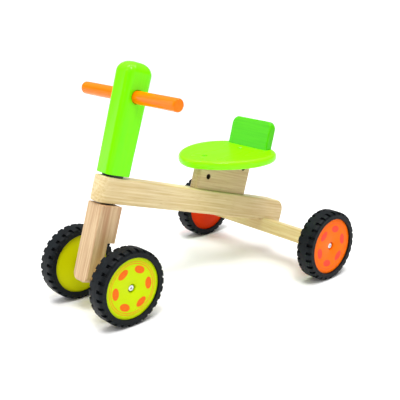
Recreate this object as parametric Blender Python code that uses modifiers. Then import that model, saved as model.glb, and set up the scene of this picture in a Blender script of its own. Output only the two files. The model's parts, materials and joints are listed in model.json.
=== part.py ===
"""Toddler's wooden ride-on: a four-wheeled push trike with a steered front fork.

Every sub-part is one object, in metres, +Z up, standing on Z = 0.
The trike faces -Y. Its left side is +X.
The frame and the steering share one tilted set of axes, (x, s, h):
h runs up the steering axis, s runs rearwards along the main beam, square to it.
"""

import math

import bmesh
import bpy
from mathutils import Matrix, Vector

# Driving dimensions, in metres.
WHEELBASE = 0.447
TILT = math.radians(16.8)
AXLE_SETBACK = 0.021
TYRE_RADIUS = 0.075
TYRE_HALF_WIDTH = 0.0195
# Points of the tyre's outline, (distance from its middle plane, radius), below the tread.
TYRE_SHOULDER = (0.0164, 0.0741)
TYRE_WALL_TOP = (0.0190, 0.0711)
TYRE_WALL_FOOT = (TYRE_HALF_WIDTH, 0.0685)
TREAD_LUGS = 28
TREAD_SLOT_START = 0.0075
TREAD_SLOT_SHARE = 0.38
TREAD_SLOT_DEPTH = 0.0036
RIM_RADIUS = 0.060
HUB_HALF_WIDTH = 0.015
REAR_WHEEL_X = 0.1925
FRONT_WHEEL_X = 0.084
GAP = 0.0003
SIDES = (("left", 1), ("right", -1))

BEAM_HALF_WIDTH = 0.021
BEAM_BOTTOM = 0.1397
BEAM_TOP = 0.1897
BEAM_FRONT = -0.0335
BEAM_REAR = 0.493
BEAM_NOSE_RADIUS = 0.016
BEAM_TAIL_RADIUS = 0.024

AXLE_BEAM_DEPTH = 0.034
AXLE_BEAM_HEIGHT = 0.030
SPACER_LENGTH = 0.0049

POST_HALF_WIDTH = 0.012
POST_FRONT = 0.2115
POST_REAR = 0.3635
POST_CORNER_RADIUS = 0.007
POST_SCREW_S = (0.245, 0.321)
POST_DOWEL_S = (0.226, 0.340)
DOWEL_RADIUS = 0.004

SEAT_TOP = 0.265
SEAT_THICKNESS = 0.0185
SEAT_HALF_WIDTH = 0.103
SEAT_WIDEST_Y = 0.1185
SEAT_FRONT_LENGTH = 0.122
SEAT_REAR_LENGTH = 0.090
# Powers of the superellipse that gives the seat's outline before and behind its widest line.
SEAT_FRONT_POWER = 1.75
SEAT_REAR_POWER = 2.4
SEAT_BOLT_Y = (0.048, 0.1525)
SEAT_EDGE_RADIUS = 0.0075
SEAT_BOLT_RADIUS = 0.003
SEAT_BOLT_HEAD_RADIUS = 0.0055
SEAT_BOLT_SINK = 0.006
SEAT_NUT_Z = 0.221
SEAT_NUT_RADIUS = 0.005
SEAT_NUT_HALF_LENGTH = 0.0075

BACK_FRONT_Y = 0.1735
BACK_HALF_WIDTH = 0.058
BACK_HEIGHT = 0.062
BACK_THICKNESS = 0.018
BACK_LEAN = math.radians(15.5)
BACK_CORNER_RADIUS = 0.017
BACK_SCREW_X = 0.034
BACK_SCREW_RADIUS = 0.002
BACK_SCREW_HEAD_RADIUS = 0.004
BACK_SCREW_REACH = 0.036

FORK_HALF_WIDTH = 0.02275
FORK_FRONT = -0.028
FORK_REAR = 0.0215
FORK_LEG_REAR = 0.0037
FORK_NOTCH = 0.0645
FORK_TOP = 0.1365
FORK_BOTTOM = -0.016
FORK_CORNER_RADIUS = 0.014
FORK_SCREW_HEIGHT = 0.106

COLUMN_BOTTOM = 0.1941
COLUMN_TOP = 0.408
COLUMN_CROWN_RADIUS = 0.022
# Half width, half depth and corner radius of the column at its foot and at its shoulder.
COLUMN_FOOT = (0.0225, 0.028, 0.011)
COLUMN_SHOULDER = (0.026, 0.030, 0.015)
COLUMN_FOOT_EASE = 0.0015
COLUMN_SCREW_HEIGHT = 0.228
COLUMN_SCREW_FACE = 0.0275

BAR_HEIGHT = 0.3443
BAR_RADIUS = 0.0125
BAR_HALF_LENGTH = 0.1435
BAR_SCREW_FACE = 0.0295

KINGPIN_RADIUS = 0.006
KINGPIN_BOTTOM = 0.0765
KINGPIN_TOP = 0.2741
BUSH_RADIUS = 0.009
BUSH_FLANGE_RADIUS = 0.0205
HEAD_SIDES = 24

STOP_RADIUS = 0.0165
STOP_PIN_RADIUS = 0.0022
STOP_PIN_SEAT = 0.0115
STOP_PIN_REACH = 0.0085
STEER_LIMIT = math.radians(35)

BOLT_RADIUS = 0.004
BOLT_HEAD_RADIUS = 0.0063
BOLT_HEAD_LENGTH = 0.0047
SOCKET_RADIUS = 0.0032
SOCKET_DEPTH = 0.0028
RECESS_RADIUS = 0.0088
RECESS_DEPTH = 0.008
HUB_BUSH_RADIUS = 0.007
INSERT_RADIUS = 0.0065
INSERT_LENGTH = 0.018
SPACER_RADIUS = 0.010

SCREW_RADIUS = 0.0025
SCREW_HEAD_RADIUS = 0.005
SCREW_HEAD_LENGTH = 0.003
SCREW_SINK = 0.004
AXLE_SCREW_X = 0.011
BLOCK_SCREW_X = 0.012
EDGE_EASE = 0.0025

# The front axle's midpoint, and the point of the steering axis square to it.
FRONT_AXLE = Vector((0, -WHEELBASE / 2, TYRE_RADIUS))
STEER_ORIGIN = FRONT_AXLE - AXLE_SETBACK * Vector((0, math.cos(TILT), -math.sin(TILT)))
REAR_AXLE_S = WHEELBASE * math.cos(TILT) + AXLE_SETBACK
REAR_AXLE_H = WHEELBASE * math.sin(TILT)


# ---------------------------------------------------------------- scene and materials

def clear_scene():
    for obj in list(bpy.data.objects):
        bpy.data.objects.remove(obj, do_unlink=True)


def make_collection(name):
    collection = bpy.data.collections.new(name)
    bpy.context.scene.collection.children.link(collection)
    return collection


def linear(channel):
    value = channel / 255
    return value / 12.92 if value <= 0.04045 else ((value + 0.055) / 1.055) ** 2.4


def material(name, red, green, blue, roughness, metallic=0.0):
    made = bpy.data.materials.new(name)
    made.use_nodes = True
    shader = made.node_tree.nodes["Principled BSDF"]
    colour = (linear(red), linear(green), linear(blue), 1)
    shader.inputs["Base Color"].default_value = colour
    shader.inputs["Roughness"].default_value = roughness
    shader.inputs["Metallic"].default_value = metallic
    made.diffuse_color = colour
    return made


def make_empty(name, location, tilt=0.0, parent=None):
    empty = bpy.data.objects.new(name, None)
    parts.objects.link(empty)
    empty.location = location
    empty.rotation_euler.x = tilt
    empty.parent = parent
    empty.empty_display_size = 0.03
    return empty


# ---------------------------------------------------------------- shape helpers

def add_object(name, mesh, finish=None, parent=None, location=(0, 0, 0), rotation=(0, 0, 0)):
    obj = bpy.data.objects.new(name, mesh)
    obj.location = location
    obj.rotation_euler = rotation
    obj.parent = parent
    if finish is None:
        cutters.objects.link(obj)
        obj.hide_render = True
        obj.display_type = "WIRE"
    else:
        parts.objects.link(obj)
        if not mesh.materials:
            mesh.materials.append(finish)
        mesh.shade_smooth()
        mesh.set_sharp_from_angle(angle=math.radians(35))
    return obj


def box_mesh(name, low, high):
    """A cube primitive stretched between two opposite corners."""
    low = Vector(low)
    high = Vector(high)
    centre = Matrix.Translation((low + high) / 2)
    size = Matrix.Diagonal((*(high - low), 1))
    mesh = bpy.data.meshes.new(name)
    bm = bmesh.new()
    bmesh.ops.create_cube(bm, size=1, matrix=centre @ size)
    bm.to_mesh(mesh)
    bm.free()
    return mesh


def round_edges(mesh, axis, chosen, radius, segments):
    """Rounds the edges that run along one axis and whose midpoint is chosen."""
    bm = bmesh.new()
    bm.from_mesh(mesh)
    picked = []
    for edge in bm.edges:
        run = edge.verts[1].co - edge.verts[0].co
        middle = (edge.verts[1].co + edge.verts[0].co) / 2
        if abs(run[axis]) > 0.99 * run.length and chosen(middle):
            picked.append(edge)
    bmesh.ops.bevel(bm, geom=picked, offset=radius, segments=segments, profile=0.5, affect="EDGES")
    bm.to_mesh(mesh)
    bm.free()


def ease_edges(obj, width, segments=2):
    bevel = obj.modifiers.new("eased edges", "BEVEL")
    bevel.width = width
    bevel.segments = segments
    bevel.limit_method = "ANGLE"
    bevel.angle_limit = math.radians(40)


def cylinder_mesh(name, radius, start, end, axis, sides=12):
    """A cylinder primitive from start to end along one axis through the origin."""
    turn = {
        "x": Matrix.Rotation(math.pi / 2, 4, "Y"),
        "y": Matrix.Rotation(-math.pi / 2, 4, "X"),
        "z": Matrix.Identity(4),
    }[axis]
    place = turn @ Matrix.Translation((0, 0, (start + end) / 2))
    mesh = bpy.data.meshes.new(name)
    bm = bmesh.new()
    bmesh.ops.create_cone(
        bm,
        cap_ends=True,
        segments=sides,
        radius1=radius,
        radius2=radius,
        depth=abs(end - start),
        matrix=place,
    )
    bm.to_mesh(mesh)
    bm.free()
    return mesh


def turned(
    name, profile, finish, parent=None, location=(0, 0, 0), rotation=(0, 0, 0), steps=12, ring=False
):
    """A profile of (radius, height) turned about Z, from its top down its outer side."""
    mesh = bpy.data.meshes.new(name)
    count = len(profile)
    edges = [(i, i + 1) for i in range(count - 1)]
    if ring:
        edges.append((count - 1, 0))
    mesh.from_pydata([(radius, 0, height) for radius, height in profile], edges, [])
    obj = add_object(name, mesh, finish, parent, location, rotation)
    screw = obj.modifiers.new("turn", "SCREW")
    screw.axis = "Z"
    screw.steps = steps
    screw.render_steps = steps
    screw.use_merge_vertices = True
    screw.merge_threshold = 0.00005
    screw.use_smooth_shade = True
    return obj


def cut(obj, cutter):
    boolean = obj.modifiers.new("cut " + cutter.name, "BOOLEAN")
    boolean.operation = "DIFFERENCE"
    boolean.solver = "EXACT"
    boolean.object = cutter


def drill(obj, name, radius, start, end, axis, at=(0, 0, 0), parent=None, sides=12):
    """A round hole in obj along one axis through the point at."""
    mesh = cylinder_mesh(name, radius, start, end, axis, sides)
    cutter = add_object(name, mesh, None, parent, at)
    cut(obj, cutter)
    return cutter


def screw_profile(tip, foot, length, radius, head_radius):
    """A pointed screw along Z: its tip, and a flat head below the foot that it bears on."""
    profile = [(0, tip), (radius, tip - 0.004), (radius, foot), (head_radius, foot - 0.0005)]
    profile += [(head_radius, foot - length), (0, foot - length)]
    return profile


def pair_along(obj, offset):
    """A second copy of a cutter at a fixed offset."""
    array = obj.modifiers.new("pair", "ARRAY")
    array.count = 2
    array.use_relative_offset = False
    array.use_constant_offset = True
    array.constant_offset_displace = offset


def mirror_pair(obj, centre):
    """The same cutter on the other side of the middle plane."""
    mirror = obj.modifiers.new("pair", "MIRROR")
    mirror.mirror_object = centre
    mirror.use_axis = (True, False, False)
    mirror.use_clip = False
    mirror.use_mirror_merge = False


def baked_mesh(obj, name):
    """The object's evaluated mesh, welded; the object itself is removed."""
    bpy.context.view_layer.update()
    graph = bpy.context.evaluated_depsgraph_get()
    mesh = bpy.data.meshes.new_from_object(obj.evaluated_get(graph))
    mesh.name = name
    bm = bmesh.new()
    bm.from_mesh(mesh)
    bmesh.ops.remove_doubles(bm, verts=bm.verts, dist=0.00001)
    bm.to_mesh(mesh)
    bm.free()
    bpy.data.objects.remove(obj, do_unlink=True)
    return mesh


def outline_mesh(name, points, thickness):
    """A flat plate: a closed 2D outline filled and extruded, with plain flat caps."""
    curve = bpy.data.curves.new(name, "CURVE")
    curve.dimensions = "2D"
    curve.fill_mode = "BOTH"
    curve.extrude = thickness / 2
    spline = curve.splines.new("POLY")
    spline.points.add(len(points) - 1)
    for slot, (x, y) in zip(spline.points, points):
        slot.co = (x, y, 0, 1)
    spline.use_cyclic_u = True
    guide = bpy.data.objects.new(name, curve)
    cutters.objects.link(guide)
    mesh = baked_mesh(guide, name)
    bm = bmesh.new()
    bm.from_mesh(mesh)
    bmesh.ops.dissolve_limit(bm, angle_limit=math.radians(1), verts=bm.verts, edges=bm.edges)
    bmesh.ops.recalc_face_normals(bm, faces=bm.faces)
    bm.to_mesh(mesh)
    bm.free()
    return mesh


def rounded_section(half_x, half_s, radius, corner_steps=4):
    """The outline of a rounded rectangle, anticlockwise."""
    points = []
    for quarter, (side_x, side_s) in enumerate(((1, 1), (-1, 1), (-1, -1), (1, -1))):
        for step in range(corner_steps + 1):
            angle = math.radians(90 * quarter + 90 * step / corner_steps)
            x = side_x * (half_x - radius) + radius * math.cos(angle)
            s = side_s * (half_s - radius) + radius * math.sin(angle)
            points.append((x, s))
    return points


# ---------------------------------------------------------------- frame

def make_main_beam():
    low = (-BEAM_HALF_WIDTH, BEAM_FRONT, BEAM_BOTTOM)
    high = (BEAM_HALF_WIDTH, BEAM_REAR, BEAM_TOP)
    mesh = box_mesh("main_beam", low, high)
    middle_h = (BEAM_BOTTOM + BEAM_TOP) / 2
    round_edges(mesh, 2, lambda middle: middle.y < 0, BEAM_NOSE_RADIUS, 5)
    round_edges(mesh, 0, lambda middle: middle.y > 0 and middle.z > middle_h, BEAM_TAIL_RADIUS, 5)
    beam = add_object("main_beam", mesh, rubberwood, frame)
    ease_edges(beam, 0.0035)
    bottom = BEAM_BOTTOM - 0.01
    drill(
        beam, "head_bore", BUSH_RADIUS + GAP, bottom, BEAM_TOP + 0.01, "z", parent=frame, sides=HEAD_SIDES
    )
    wide = BEAM_HALF_WIDTH + 0.01
    low = (-wide, REAR_AXLE_S - AXLE_BEAM_DEPTH / 2 - GAP, bottom)
    high = (wide, REAR_AXLE_S + AXLE_BEAM_DEPTH / 2 + GAP, REAR_AXLE_H + AXLE_BEAM_HEIGHT / 2 + GAP)
    housing = box_mesh("axle_housing", low, high)
    cut(beam, add_object("axle_housing", housing, None, frame))
    cut(beam, make_stop_groove())
    return beam


def make_stop_groove():
    """The arc groove under the head that the stop pin runs in."""
    half_angle = STEER_LIMIT + math.radians(2) + math.asin(STOP_PIN_RADIUS / STOP_RADIUS)
    inner = STOP_RADIUS - STOP_PIN_RADIUS - GAP
    outer = STOP_RADIUS + STOP_PIN_RADIUS + GAP
    steps = 8
    angles = [math.pi / 2 - half_angle + 2 * half_angle * i / steps for i in range(steps + 1)]
    points = [(outer * math.cos(a), outer * math.sin(a)) for a in angles]
    points += [(inner * math.cos(a), inner * math.sin(a)) for a in reversed(angles)]
    depth = 0.008
    mesh = outline_mesh("stop_groove", points, 2 * depth)
    return add_object("stop_groove", mesh, None, frame, (0, 0, BEAM_BOTTOM))


def axle_block_mesh(name, half_length, centre_s, centre_h):
    half_depth = AXLE_BEAM_DEPTH / 2
    half_height = AXLE_BEAM_HEIGHT / 2
    low = (-half_length, centre_s - half_depth, centre_h - half_height)
    high = (half_length, centre_s + half_depth, centre_h + half_height)
    return box_mesh(name, low, high)


def bore_axle_ends(block, name, half_length, centre_s, centre_h, parent):
    """An insert bore and a deeper bolt bore in both ends of an axle block."""
    for radius, depth, label in (
        (INSERT_RADIUS + GAP, INSERT_LENGTH + 0.001, "insert"),
        (BOLT_RADIUS + GAP, INSERT_LENGTH + 0.010, "bolt"),
    ):
        mesh = cylinder_mesh(name + label, radius, half_length - depth, half_length + 0.01, "x")
        at = (0, centre_s, centre_h)
        cutter = add_object(name + "_" + label + "_bores", mesh, None, parent, at)
        mirror_pair(cutter, parent)
        cut(block, cutter)


def make_rear_axle_beam():
    half_length = REAR_WHEEL_X - HUB_HALF_WIDTH - SPACER_LENGTH - 2 * GAP
    mesh = axle_block_mesh("rear_axle_beam", half_length, REAR_AXLE_S, REAR_AXLE_H)
    beam = add_object("rear_axle_beam", mesh, rubberwood, frame)
    ease_edges(beam, EDGE_EASE)
    bore_axle_ends(beam, "rear_axle", half_length, REAR_AXLE_S, REAR_AXLE_H, frame)
    return beam, half_length


def make_seat_post():
    """A board square to the main beam, its top cut level under the seat."""
    low = (-POST_HALF_WIDTH, POST_FRONT, BEAM_TOP + GAP)
    high = (POST_HALF_WIDTH, POST_REAR, BEAM_TOP + 0.11)
    mesh = box_mesh("seat_post", low, high)
    round_edges(mesh, 2, lambda middle: True, POST_CORNER_RADIUS, 4)
    post = add_object("seat_post", mesh, dark_wood, frame)
    top = box_mesh("post_top", (-0.1, -0.1, SEAT_TOP - SEAT_THICKNESS - GAP), (0.1, 0.4, 0.4))
    cut(post, add_object("post_top", top, None))
    spacing = (0, SEAT_BOLT_Y[1] - SEAT_BOLT_Y[0], 0)
    at = (0, SEAT_BOLT_Y[0], 0)
    foot = SEAT_NUT_Z - 0.016
    pair_along(drill(post, "seat_bolt_bores", SEAT_BOLT_RADIUS + GAP, foot, SEAT_TOP, "z", at), spacing)
    at = (0, SEAT_BOLT_Y[0], SEAT_NUT_Z)
    reach = POST_HALF_WIDTH + 0.02
    pair_along(drill(post, "seat_nut_bores", SEAT_NUT_RADIUS + GAP, -reach, reach, "x", at), spacing)
    return post


def seat_outline():
    """A shield: a blunt point in front, wide and square-shouldered at the back."""
    points = []
    steps = 36
    for i in range(steps):
        angle = 2 * math.pi * i / steps
        rear = math.sin(angle) > 0
        power = SEAT_REAR_POWER if rear else SEAT_FRONT_POWER
        length = SEAT_REAR_LENGTH if rear else SEAT_FRONT_LENGTH
        across = abs(math.cos(angle)) ** (2 / power)
        along = abs(math.sin(angle)) ** (2 / power)
        x = math.copysign(SEAT_HALF_WIDTH * across, math.cos(angle))
        y = math.copysign(length * along, math.sin(angle))
        points.append((x, y))
    return points


def make_seat():
    mesh = outline_mesh("seat", seat_outline(), SEAT_THICKNESS)
    seat = add_object("seat", mesh, lime, None, (0, SEAT_WIDEST_Y, SEAT_TOP - SEAT_THICKNESS / 2))
    ease_edges(seat, SEAT_EDGE_RADIUS)
    spacing = (0, SEAT_BOLT_Y[1] - SEAT_BOLT_Y[0], 0)
    at = (0, SEAT_BOLT_Y[0], 0)
    above = SEAT_TOP + 0.02
    below = SEAT_TOP - SEAT_THICKNESS - 0.02
    pair_along(drill(seat, "seat_bolt_holes", SEAT_BOLT_RADIUS + GAP, below, above, "z", at), spacing)
    sink_foot = SEAT_TOP - SEAT_BOLT_SINK
    radius = SEAT_BOLT_HEAD_RADIUS + GAP
    pair_along(drill(seat, "seat_bolt_sinks", radius, sink_foot, above, "z", at), spacing)
    return seat


def make_seat_back(seat):
    """A leaning plate that stands on the seat, screwed from below."""
    low = (-BACK_HALF_WIDTH, 0, 0)
    high = (BACK_HALF_WIDTH, BACK_THICKNESS, BACK_HEIGHT)
    mesh = box_mesh("seat_back", low, high)
    round_edges(mesh, 1, lambda middle: middle.z > BACK_HEIGHT / 2, BACK_CORNER_RADIUS, 5)
    back_axis = make_empty("seat_back_axis", (0, BACK_FRONT_Y, SEAT_TOP + GAP), -BACK_LEAN)
    back = add_object("seat_back", mesh, green, back_axis)
    ease_edges(back, 0.003)
    foot = box_mesh("back_foot", (-0.1, 0.1, SEAT_TOP - 0.05), (0.1, 0.3, SEAT_TOP + GAP))
    cut(back, add_object("back_foot", foot, None))
    at = (BACK_SCREW_X, BACK_THICKNESS / 2, 0)
    spacing = (-2 * BACK_SCREW_X, 0, 0)
    radius = BACK_SCREW_RADIUS + GAP
    head_foot = -0.0165
    deep = head_foot - 0.025
    pair_along(drill(back, "back_bores", radius, -0.03, BACK_SCREW_REACH, "z", at, back_axis), spacing)
    pair_along(drill(seat, "back_screw_holes", radius, deep, 0.02, "z", at, back_axis), spacing)
    radius = BACK_SCREW_HEAD_RADIUS + GAP
    top = head_foot + 0.0005
    pair_along(drill(seat, "back_screw_sinks", radius, deep, top, "z", at, back_axis), spacing)
    tip = BACK_SCREW_REACH - 0.001
    profile = screw_profile(tip, head_foot, 0.0022, BACK_SCREW_RADIUS, BACK_SCREW_HEAD_RADIUS)
    for side, sign in SIDES:
        place = (sign * BACK_SCREW_X, BACK_THICKNESS / 2, 0)
        turned("seat_back_screw_" + side, profile, steel, back_axis, place)


def make_seat_fixings():
    """Socket bolts down through the seat into barrel nuts that lie across the post."""
    top = SEAT_TOP - 0.0015
    foot = SEAT_TOP - SEAT_BOLT_SINK + GAP
    tip = SEAT_NUT_Z - 0.007
    socket = 0.0022
    head = SEAT_BOLT_HEAD_RADIUS
    profile = [(0, top - 0.002), (socket, top - 0.002), (socket, top), (head - 0.0005, top)]
    profile += [(head, top - 0.0012), (head, foot), (SEAT_BOLT_RADIUS, foot)]
    profile += [(SEAT_BOLT_RADIUS, tip), (0, tip)]
    half_length = SEAT_NUT_HALF_LENGTH
    for end, y in zip(("front", "rear"), SEAT_BOLT_Y):
        turned("seat_bolt_" + end, profile, dark_steel, None, (0, y, 0))
        mesh = cylinder_mesh("seat_barrel_nut", SEAT_NUT_RADIUS, -half_length, half_length, "x")
        nut = add_object("seat_barrel_nut_" + end, mesh, dark_steel, None, (0, y, SEAT_NUT_Z))
        drill(nut, "nut_thread_" + end, SEAT_BOLT_RADIUS + GAP, -0.02, 0.02, "z", (0, y, SEAT_NUT_Z))


def fix_from_below(lower, upper, label, bottom, joint, tip, at, spacing):
    """Bores for a pair of screws that go up through the lower timber into the upper one."""
    foot = bottom + SCREW_SINK
    radius = SCREW_RADIUS + GAP
    clear = drill(lower, label + "_holes", radius, bottom - 0.01, joint + 0.01, "z", at, frame)
    radius = SCREW_HEAD_RADIUS + GAP
    sink = drill(lower, label + "_sinks", radius, bottom - 0.01, foot + GAP, "z", at, frame)
    pilot = drill(upper, label + "_bores", SCREW_RADIUS + GAP, joint - 0.01, tip + 0.001, "z", at, frame)
    for holes in (clear, sink, pilot):
        pair_along(holes, spacing)
    return screw_profile(tip, foot, SCREW_HEAD_LENGTH, SCREW_RADIUS, SCREW_HEAD_RADIUS)


def make_joinery(beam, post, axle_beam):
    """Screws and dowels that hold the post on the beam and the beam on the axle beam."""
    at = (0, POST_SCREW_S[0], 0)
    spacing = (0, POST_SCREW_S[1] - POST_SCREW_S[0], 0)
    tip = BEAM_TOP + 0.020
    profile = fix_from_below(beam, post, "post_screw", BEAM_BOTTOM, BEAM_TOP, tip, at, spacing)
    for end, s in zip(("front", "rear"), POST_SCREW_S):
        turned("post_screw_" + end, profile, steel, frame, (0, s, 0))

    at = (0, POST_DOWEL_S[0], 0)
    spacing = (0, POST_DOWEL_S[1] - POST_DOWEL_S[0], 0)
    low = BEAM_TOP - 0.014
    high = BEAM_TOP + 0.016
    radius = DOWEL_RADIUS + GAP
    for target, label in ((beam, "beam"), (post, "post")):
        bores = drill(target, label + "_dowel_bores", radius, low - 0.001, high + 0.001, "z", at, frame)
        pair_along(bores, spacing)
    for end, s in zip(("front", "rear"), POST_DOWEL_S):
        mesh = cylinder_mesh("post_dowel", DOWEL_RADIUS, low, high, "z")
        dowel = add_object("post_dowel_" + end, mesh, dark_wood, frame, (0, s, 0))
        ease_edges(dowel, 0.0008, 1)

    bottom = REAR_AXLE_H - AXLE_BEAM_HEIGHT / 2
    joint = REAR_AXLE_H + AXLE_BEAM_HEIGHT / 2
    tip = joint + 0.026
    at = (AXLE_SCREW_X, REAR_AXLE_S, 0)
    spacing = (-2 * AXLE_SCREW_X, 0, 0)
    profile = fix_from_below(axle_beam, beam, "axle_screw", bottom, joint, tip, at, spacing)
    for side, sign in SIDES:
        place = (sign * AXLE_SCREW_X, REAR_AXLE_S, 0)
        turned("axle_beam_screw_" + side, profile, steel, frame, place)


def make_head_bushes():
    """Flanged nylon bushes, one pressed in from each end of the head bore."""
    inner = KINGPIN_RADIUS + GAP
    middle = (BEAM_TOP + BEAM_BOTTOM) / 2
    top = COLUMN_BOTTOM - GAP
    seat = BEAM_TOP + GAP
    foot = middle + 0.003
    profile = [(inner, top), (BUSH_FLANGE_RADIUS, top), (BUSH_FLANGE_RADIUS, seat)]
    profile += [(BUSH_RADIUS, seat), (BUSH_RADIUS, foot), (inner, foot)]
    turned("upper_head_bush", profile, black_nylon, frame, steps=HEAD_SIDES, ring=True)
    top = middle - 0.003
    seat = BEAM_BOTTOM - GAP
    foot = FORK_TOP + GAP
    flange = STOP_RADIUS - STOP_PIN_RADIUS - 0.0018
    profile = [(inner, top), (BUSH_RADIUS, top), (BUSH_RADIUS, seat), (flange, seat)]
    profile += [(flange, foot), (inner, foot)]
    turned("lower_head_bush", profile, black_nylon, frame, steps=HEAD_SIDES, ring=True)


# ---------------------------------------------------------------- steering

def column_levels():
    """(height, half width, half depth, corner radius) up the column, crown included."""
    high = COLUMN_SHOULDER
    shoulder = COLUMN_TOP - COLUMN_CROWN_RADIUS
    levels = [(COLUMN_BOTTOM, *(size - COLUMN_FOOT_EASE for size in COLUMN_FOOT))]
    levels.append((COLUMN_BOTTOM + COLUMN_FOOT_EASE, *COLUMN_FOOT))
    levels.append((shoulder, *high))
    crown_steps = 5
    for step in range(1, crown_steps + 1):
        angle = math.pi / 2 * step / crown_steps
        height = shoulder + COLUMN_CROWN_RADIUS * math.sin(angle)
        inset = COLUMN_CROWN_RADIUS * (1 - math.cos(angle))
        levels.append((height, high[0] - inset, high[1] - inset, max(high[2] - inset, 0.003)))
    return levels


def make_steering_column():
    """A tapered post with rounded corners and a domed crown."""
    mesh = bpy.data.meshes.new("steering_column")
    bm = bmesh.new()
    rings = []
    for height, half_x, half_s, radius in column_levels():
        outline = rounded_section(half_x, half_s, radius)
        rings.append([bm.verts.new((x, s, height)) for x, s in outline])
    for lower, upper in zip(rings, rings[1:]):
        for i in range(len(lower)):
            j = (i + 1) % len(lower)
            bm.faces.new((lower[i], lower[j], upper[j], upper[i]))
    bm.faces.new(rings[-1])
    bm.faces.new(list(reversed(rings[0])))
    bm.to_mesh(mesh)
    bm.free()
    column = add_object("steering_column", mesh, lime, steering)
    bottom = COLUMN_BOTTOM - 0.01
    drill(column, "kingpin_bore", KINGPIN_RADIUS + GAP, bottom, KINGPIN_TOP + 0.001, "z", parent=steering)
    at = (0, 0, BAR_HEIGHT)
    drill(column, "bar_bore", BAR_RADIUS + GAP, -0.05, 0.05, "x", at, steering, HEAD_SIDES)
    return column


def make_cross_screw(name, height, tip, face, radius, head_radius, targets):
    """A screw put in from the rear face towards the front, its head sunk flush."""
    foot = face - 0.006
    at = (0, 0, height)
    for target in targets:
        hole = name + "_hole_in_" + target.name
        drill(target, hole, radius + GAP, tip - 0.001, face + 0.02, "y", at, steering)
    drill(targets[0], name + "_sink", head_radius + GAP, foot, face + 0.02, "y", at, steering)
    top = face - 0.001
    profile = [(0, top), (head_radius, top), (head_radius, foot + GAP), (radius, foot + GAP)]
    profile += [(radius, tip), (0, tip)]
    turned(name, profile, steel, steering, at, (-math.pi / 2, 0, 0))


def make_handlebar():
    mesh = cylinder_mesh("handlebar", BAR_RADIUS, -BAR_HALF_LENGTH, BAR_HALF_LENGTH, "x", HEAD_SIDES)
    bar = add_object("handlebar", mesh, orange, steering, (0, 0, BAR_HEIGHT))
    ease_edges(bar, 0.003)
    return bar


def make_fork():
    """A solid block with its lower rear cut away for the axle block."""
    low = (-FORK_HALF_WIDTH, FORK_FRONT, FORK_BOTTOM)
    high = (FORK_HALF_WIDTH, FORK_REAR, FORK_TOP)
    mesh = box_mesh("fork", low, high)
    round_edges(mesh, 1, lambda middle: middle.z < 0, FORK_CORNER_RADIUS, 5)
    fork = add_object("fork", mesh, light_wood, steering)
    notch = box_mesh("fork_notch", (-0.05, FORK_LEG_REAR, -0.05), (0.05, 0.05, FORK_NOTCH))
    cut(fork, add_object("fork_notch", notch, None, steering))
    ease_edges(fork, EDGE_EASE)
    above = FORK_TOP + 0.02
    foot = KINGPIN_BOTTOM - GAP
    drill(fork, "fork_kingpin_bore", KINGPIN_RADIUS + GAP, foot, above, "z", parent=steering)
    foot = FORK_TOP - STOP_PIN_SEAT - 0.0005
    at = (0, STOP_RADIUS, 0)
    drill(fork, "stop_pin_bore", STOP_PIN_RADIUS + GAP, foot, above, "z", at, steering)
    return fork


def make_kingpin():
    mesh = cylinder_mesh("kingpin", KINGPIN_RADIUS, KINGPIN_BOTTOM, KINGPIN_TOP, "z")
    return add_object("kingpin", mesh, steel, steering)


def make_stop_pin():
    foot = FORK_TOP - STOP_PIN_SEAT
    mesh = cylinder_mesh("steering_stop_pin", STOP_PIN_RADIUS, foot, FORK_TOP + STOP_PIN_REACH, "z")
    add_object("steering_stop_pin", mesh, steel, steering, (0, STOP_RADIUS, 0))


def make_front_axle_block(fork):
    half_length = FRONT_WHEEL_X - HUB_HALF_WIDTH - SPACER_LENGTH - 2 * GAP
    mesh = axle_block_mesh("front_axle_block", half_length, AXLE_SETBACK, 0)
    block = add_object("front_axle_block", mesh, light_wood, steering)
    ease_edges(block, EDGE_EASE)
    bore_axle_ends(block, "front_axle", half_length, AXLE_SETBACK, 0, steering)
    rear = AXLE_SETBACK + AXLE_BEAM_DEPTH / 2
    tip = FORK_FRONT + 0.008
    foot = rear - 0.006
    at = (BLOCK_SCREW_X, 0, 0)
    radius = SCREW_RADIUS + GAP
    clear = drill(block, "block_screw_holes", radius, -0.01, rear + 0.02, "y", at, steering)
    sink = drill(block, "block_screw_sinks", SCREW_HEAD_RADIUS + GAP, foot, rear + 0.02, "y", at, steering)
    pilot = drill(fork, "block_screw_bores", radius, tip - 0.001, 0.02, "y", at, steering)
    for holes in (clear, sink, pilot):
        pair_along(holes, (-2 * BLOCK_SCREW_X, 0, 0))
    top = rear - 0.002
    profile = [(0, top), (SCREW_HEAD_RADIUS, top), (SCREW_HEAD_RADIUS, foot + GAP)]
    profile += [(SCREW_RADIUS, foot + GAP), (SCREW_RADIUS, tip), (0, tip)]
    for side, sign in SIDES:
        place = (sign * BLOCK_SCREW_X, 0, 0)
        turned("axle_block_screw_" + side, profile, steel, steering, place, (-math.pi / 2, 0, 0))
    return half_length


# ---------------------------------------------------------------- wheels and axles

def tyre_section():
    """Half the tyre's section from its middle out: (distance, radius, share of slot depth)."""
    lip = HUB_HALF_WIDTH + GAP
    return [
        (TREAD_SLOT_START, TYRE_RADIUS, 0),
        (TREAD_SLOT_START + 0.0005, TYRE_RADIUS, 1),
        (*TYRE_SHOULDER, 1),
        (*TYRE_WALL_TOP, 1),
        (*TYRE_WALL_FOOT, 0),
        (TYRE_HALF_WIDTH, RIM_RADIUS + 0.0005, 0),
        (lip, RIM_RADIUS, 0),
        (lip, RIM_RADIUS + 0.0017, 0),
    ]


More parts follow.
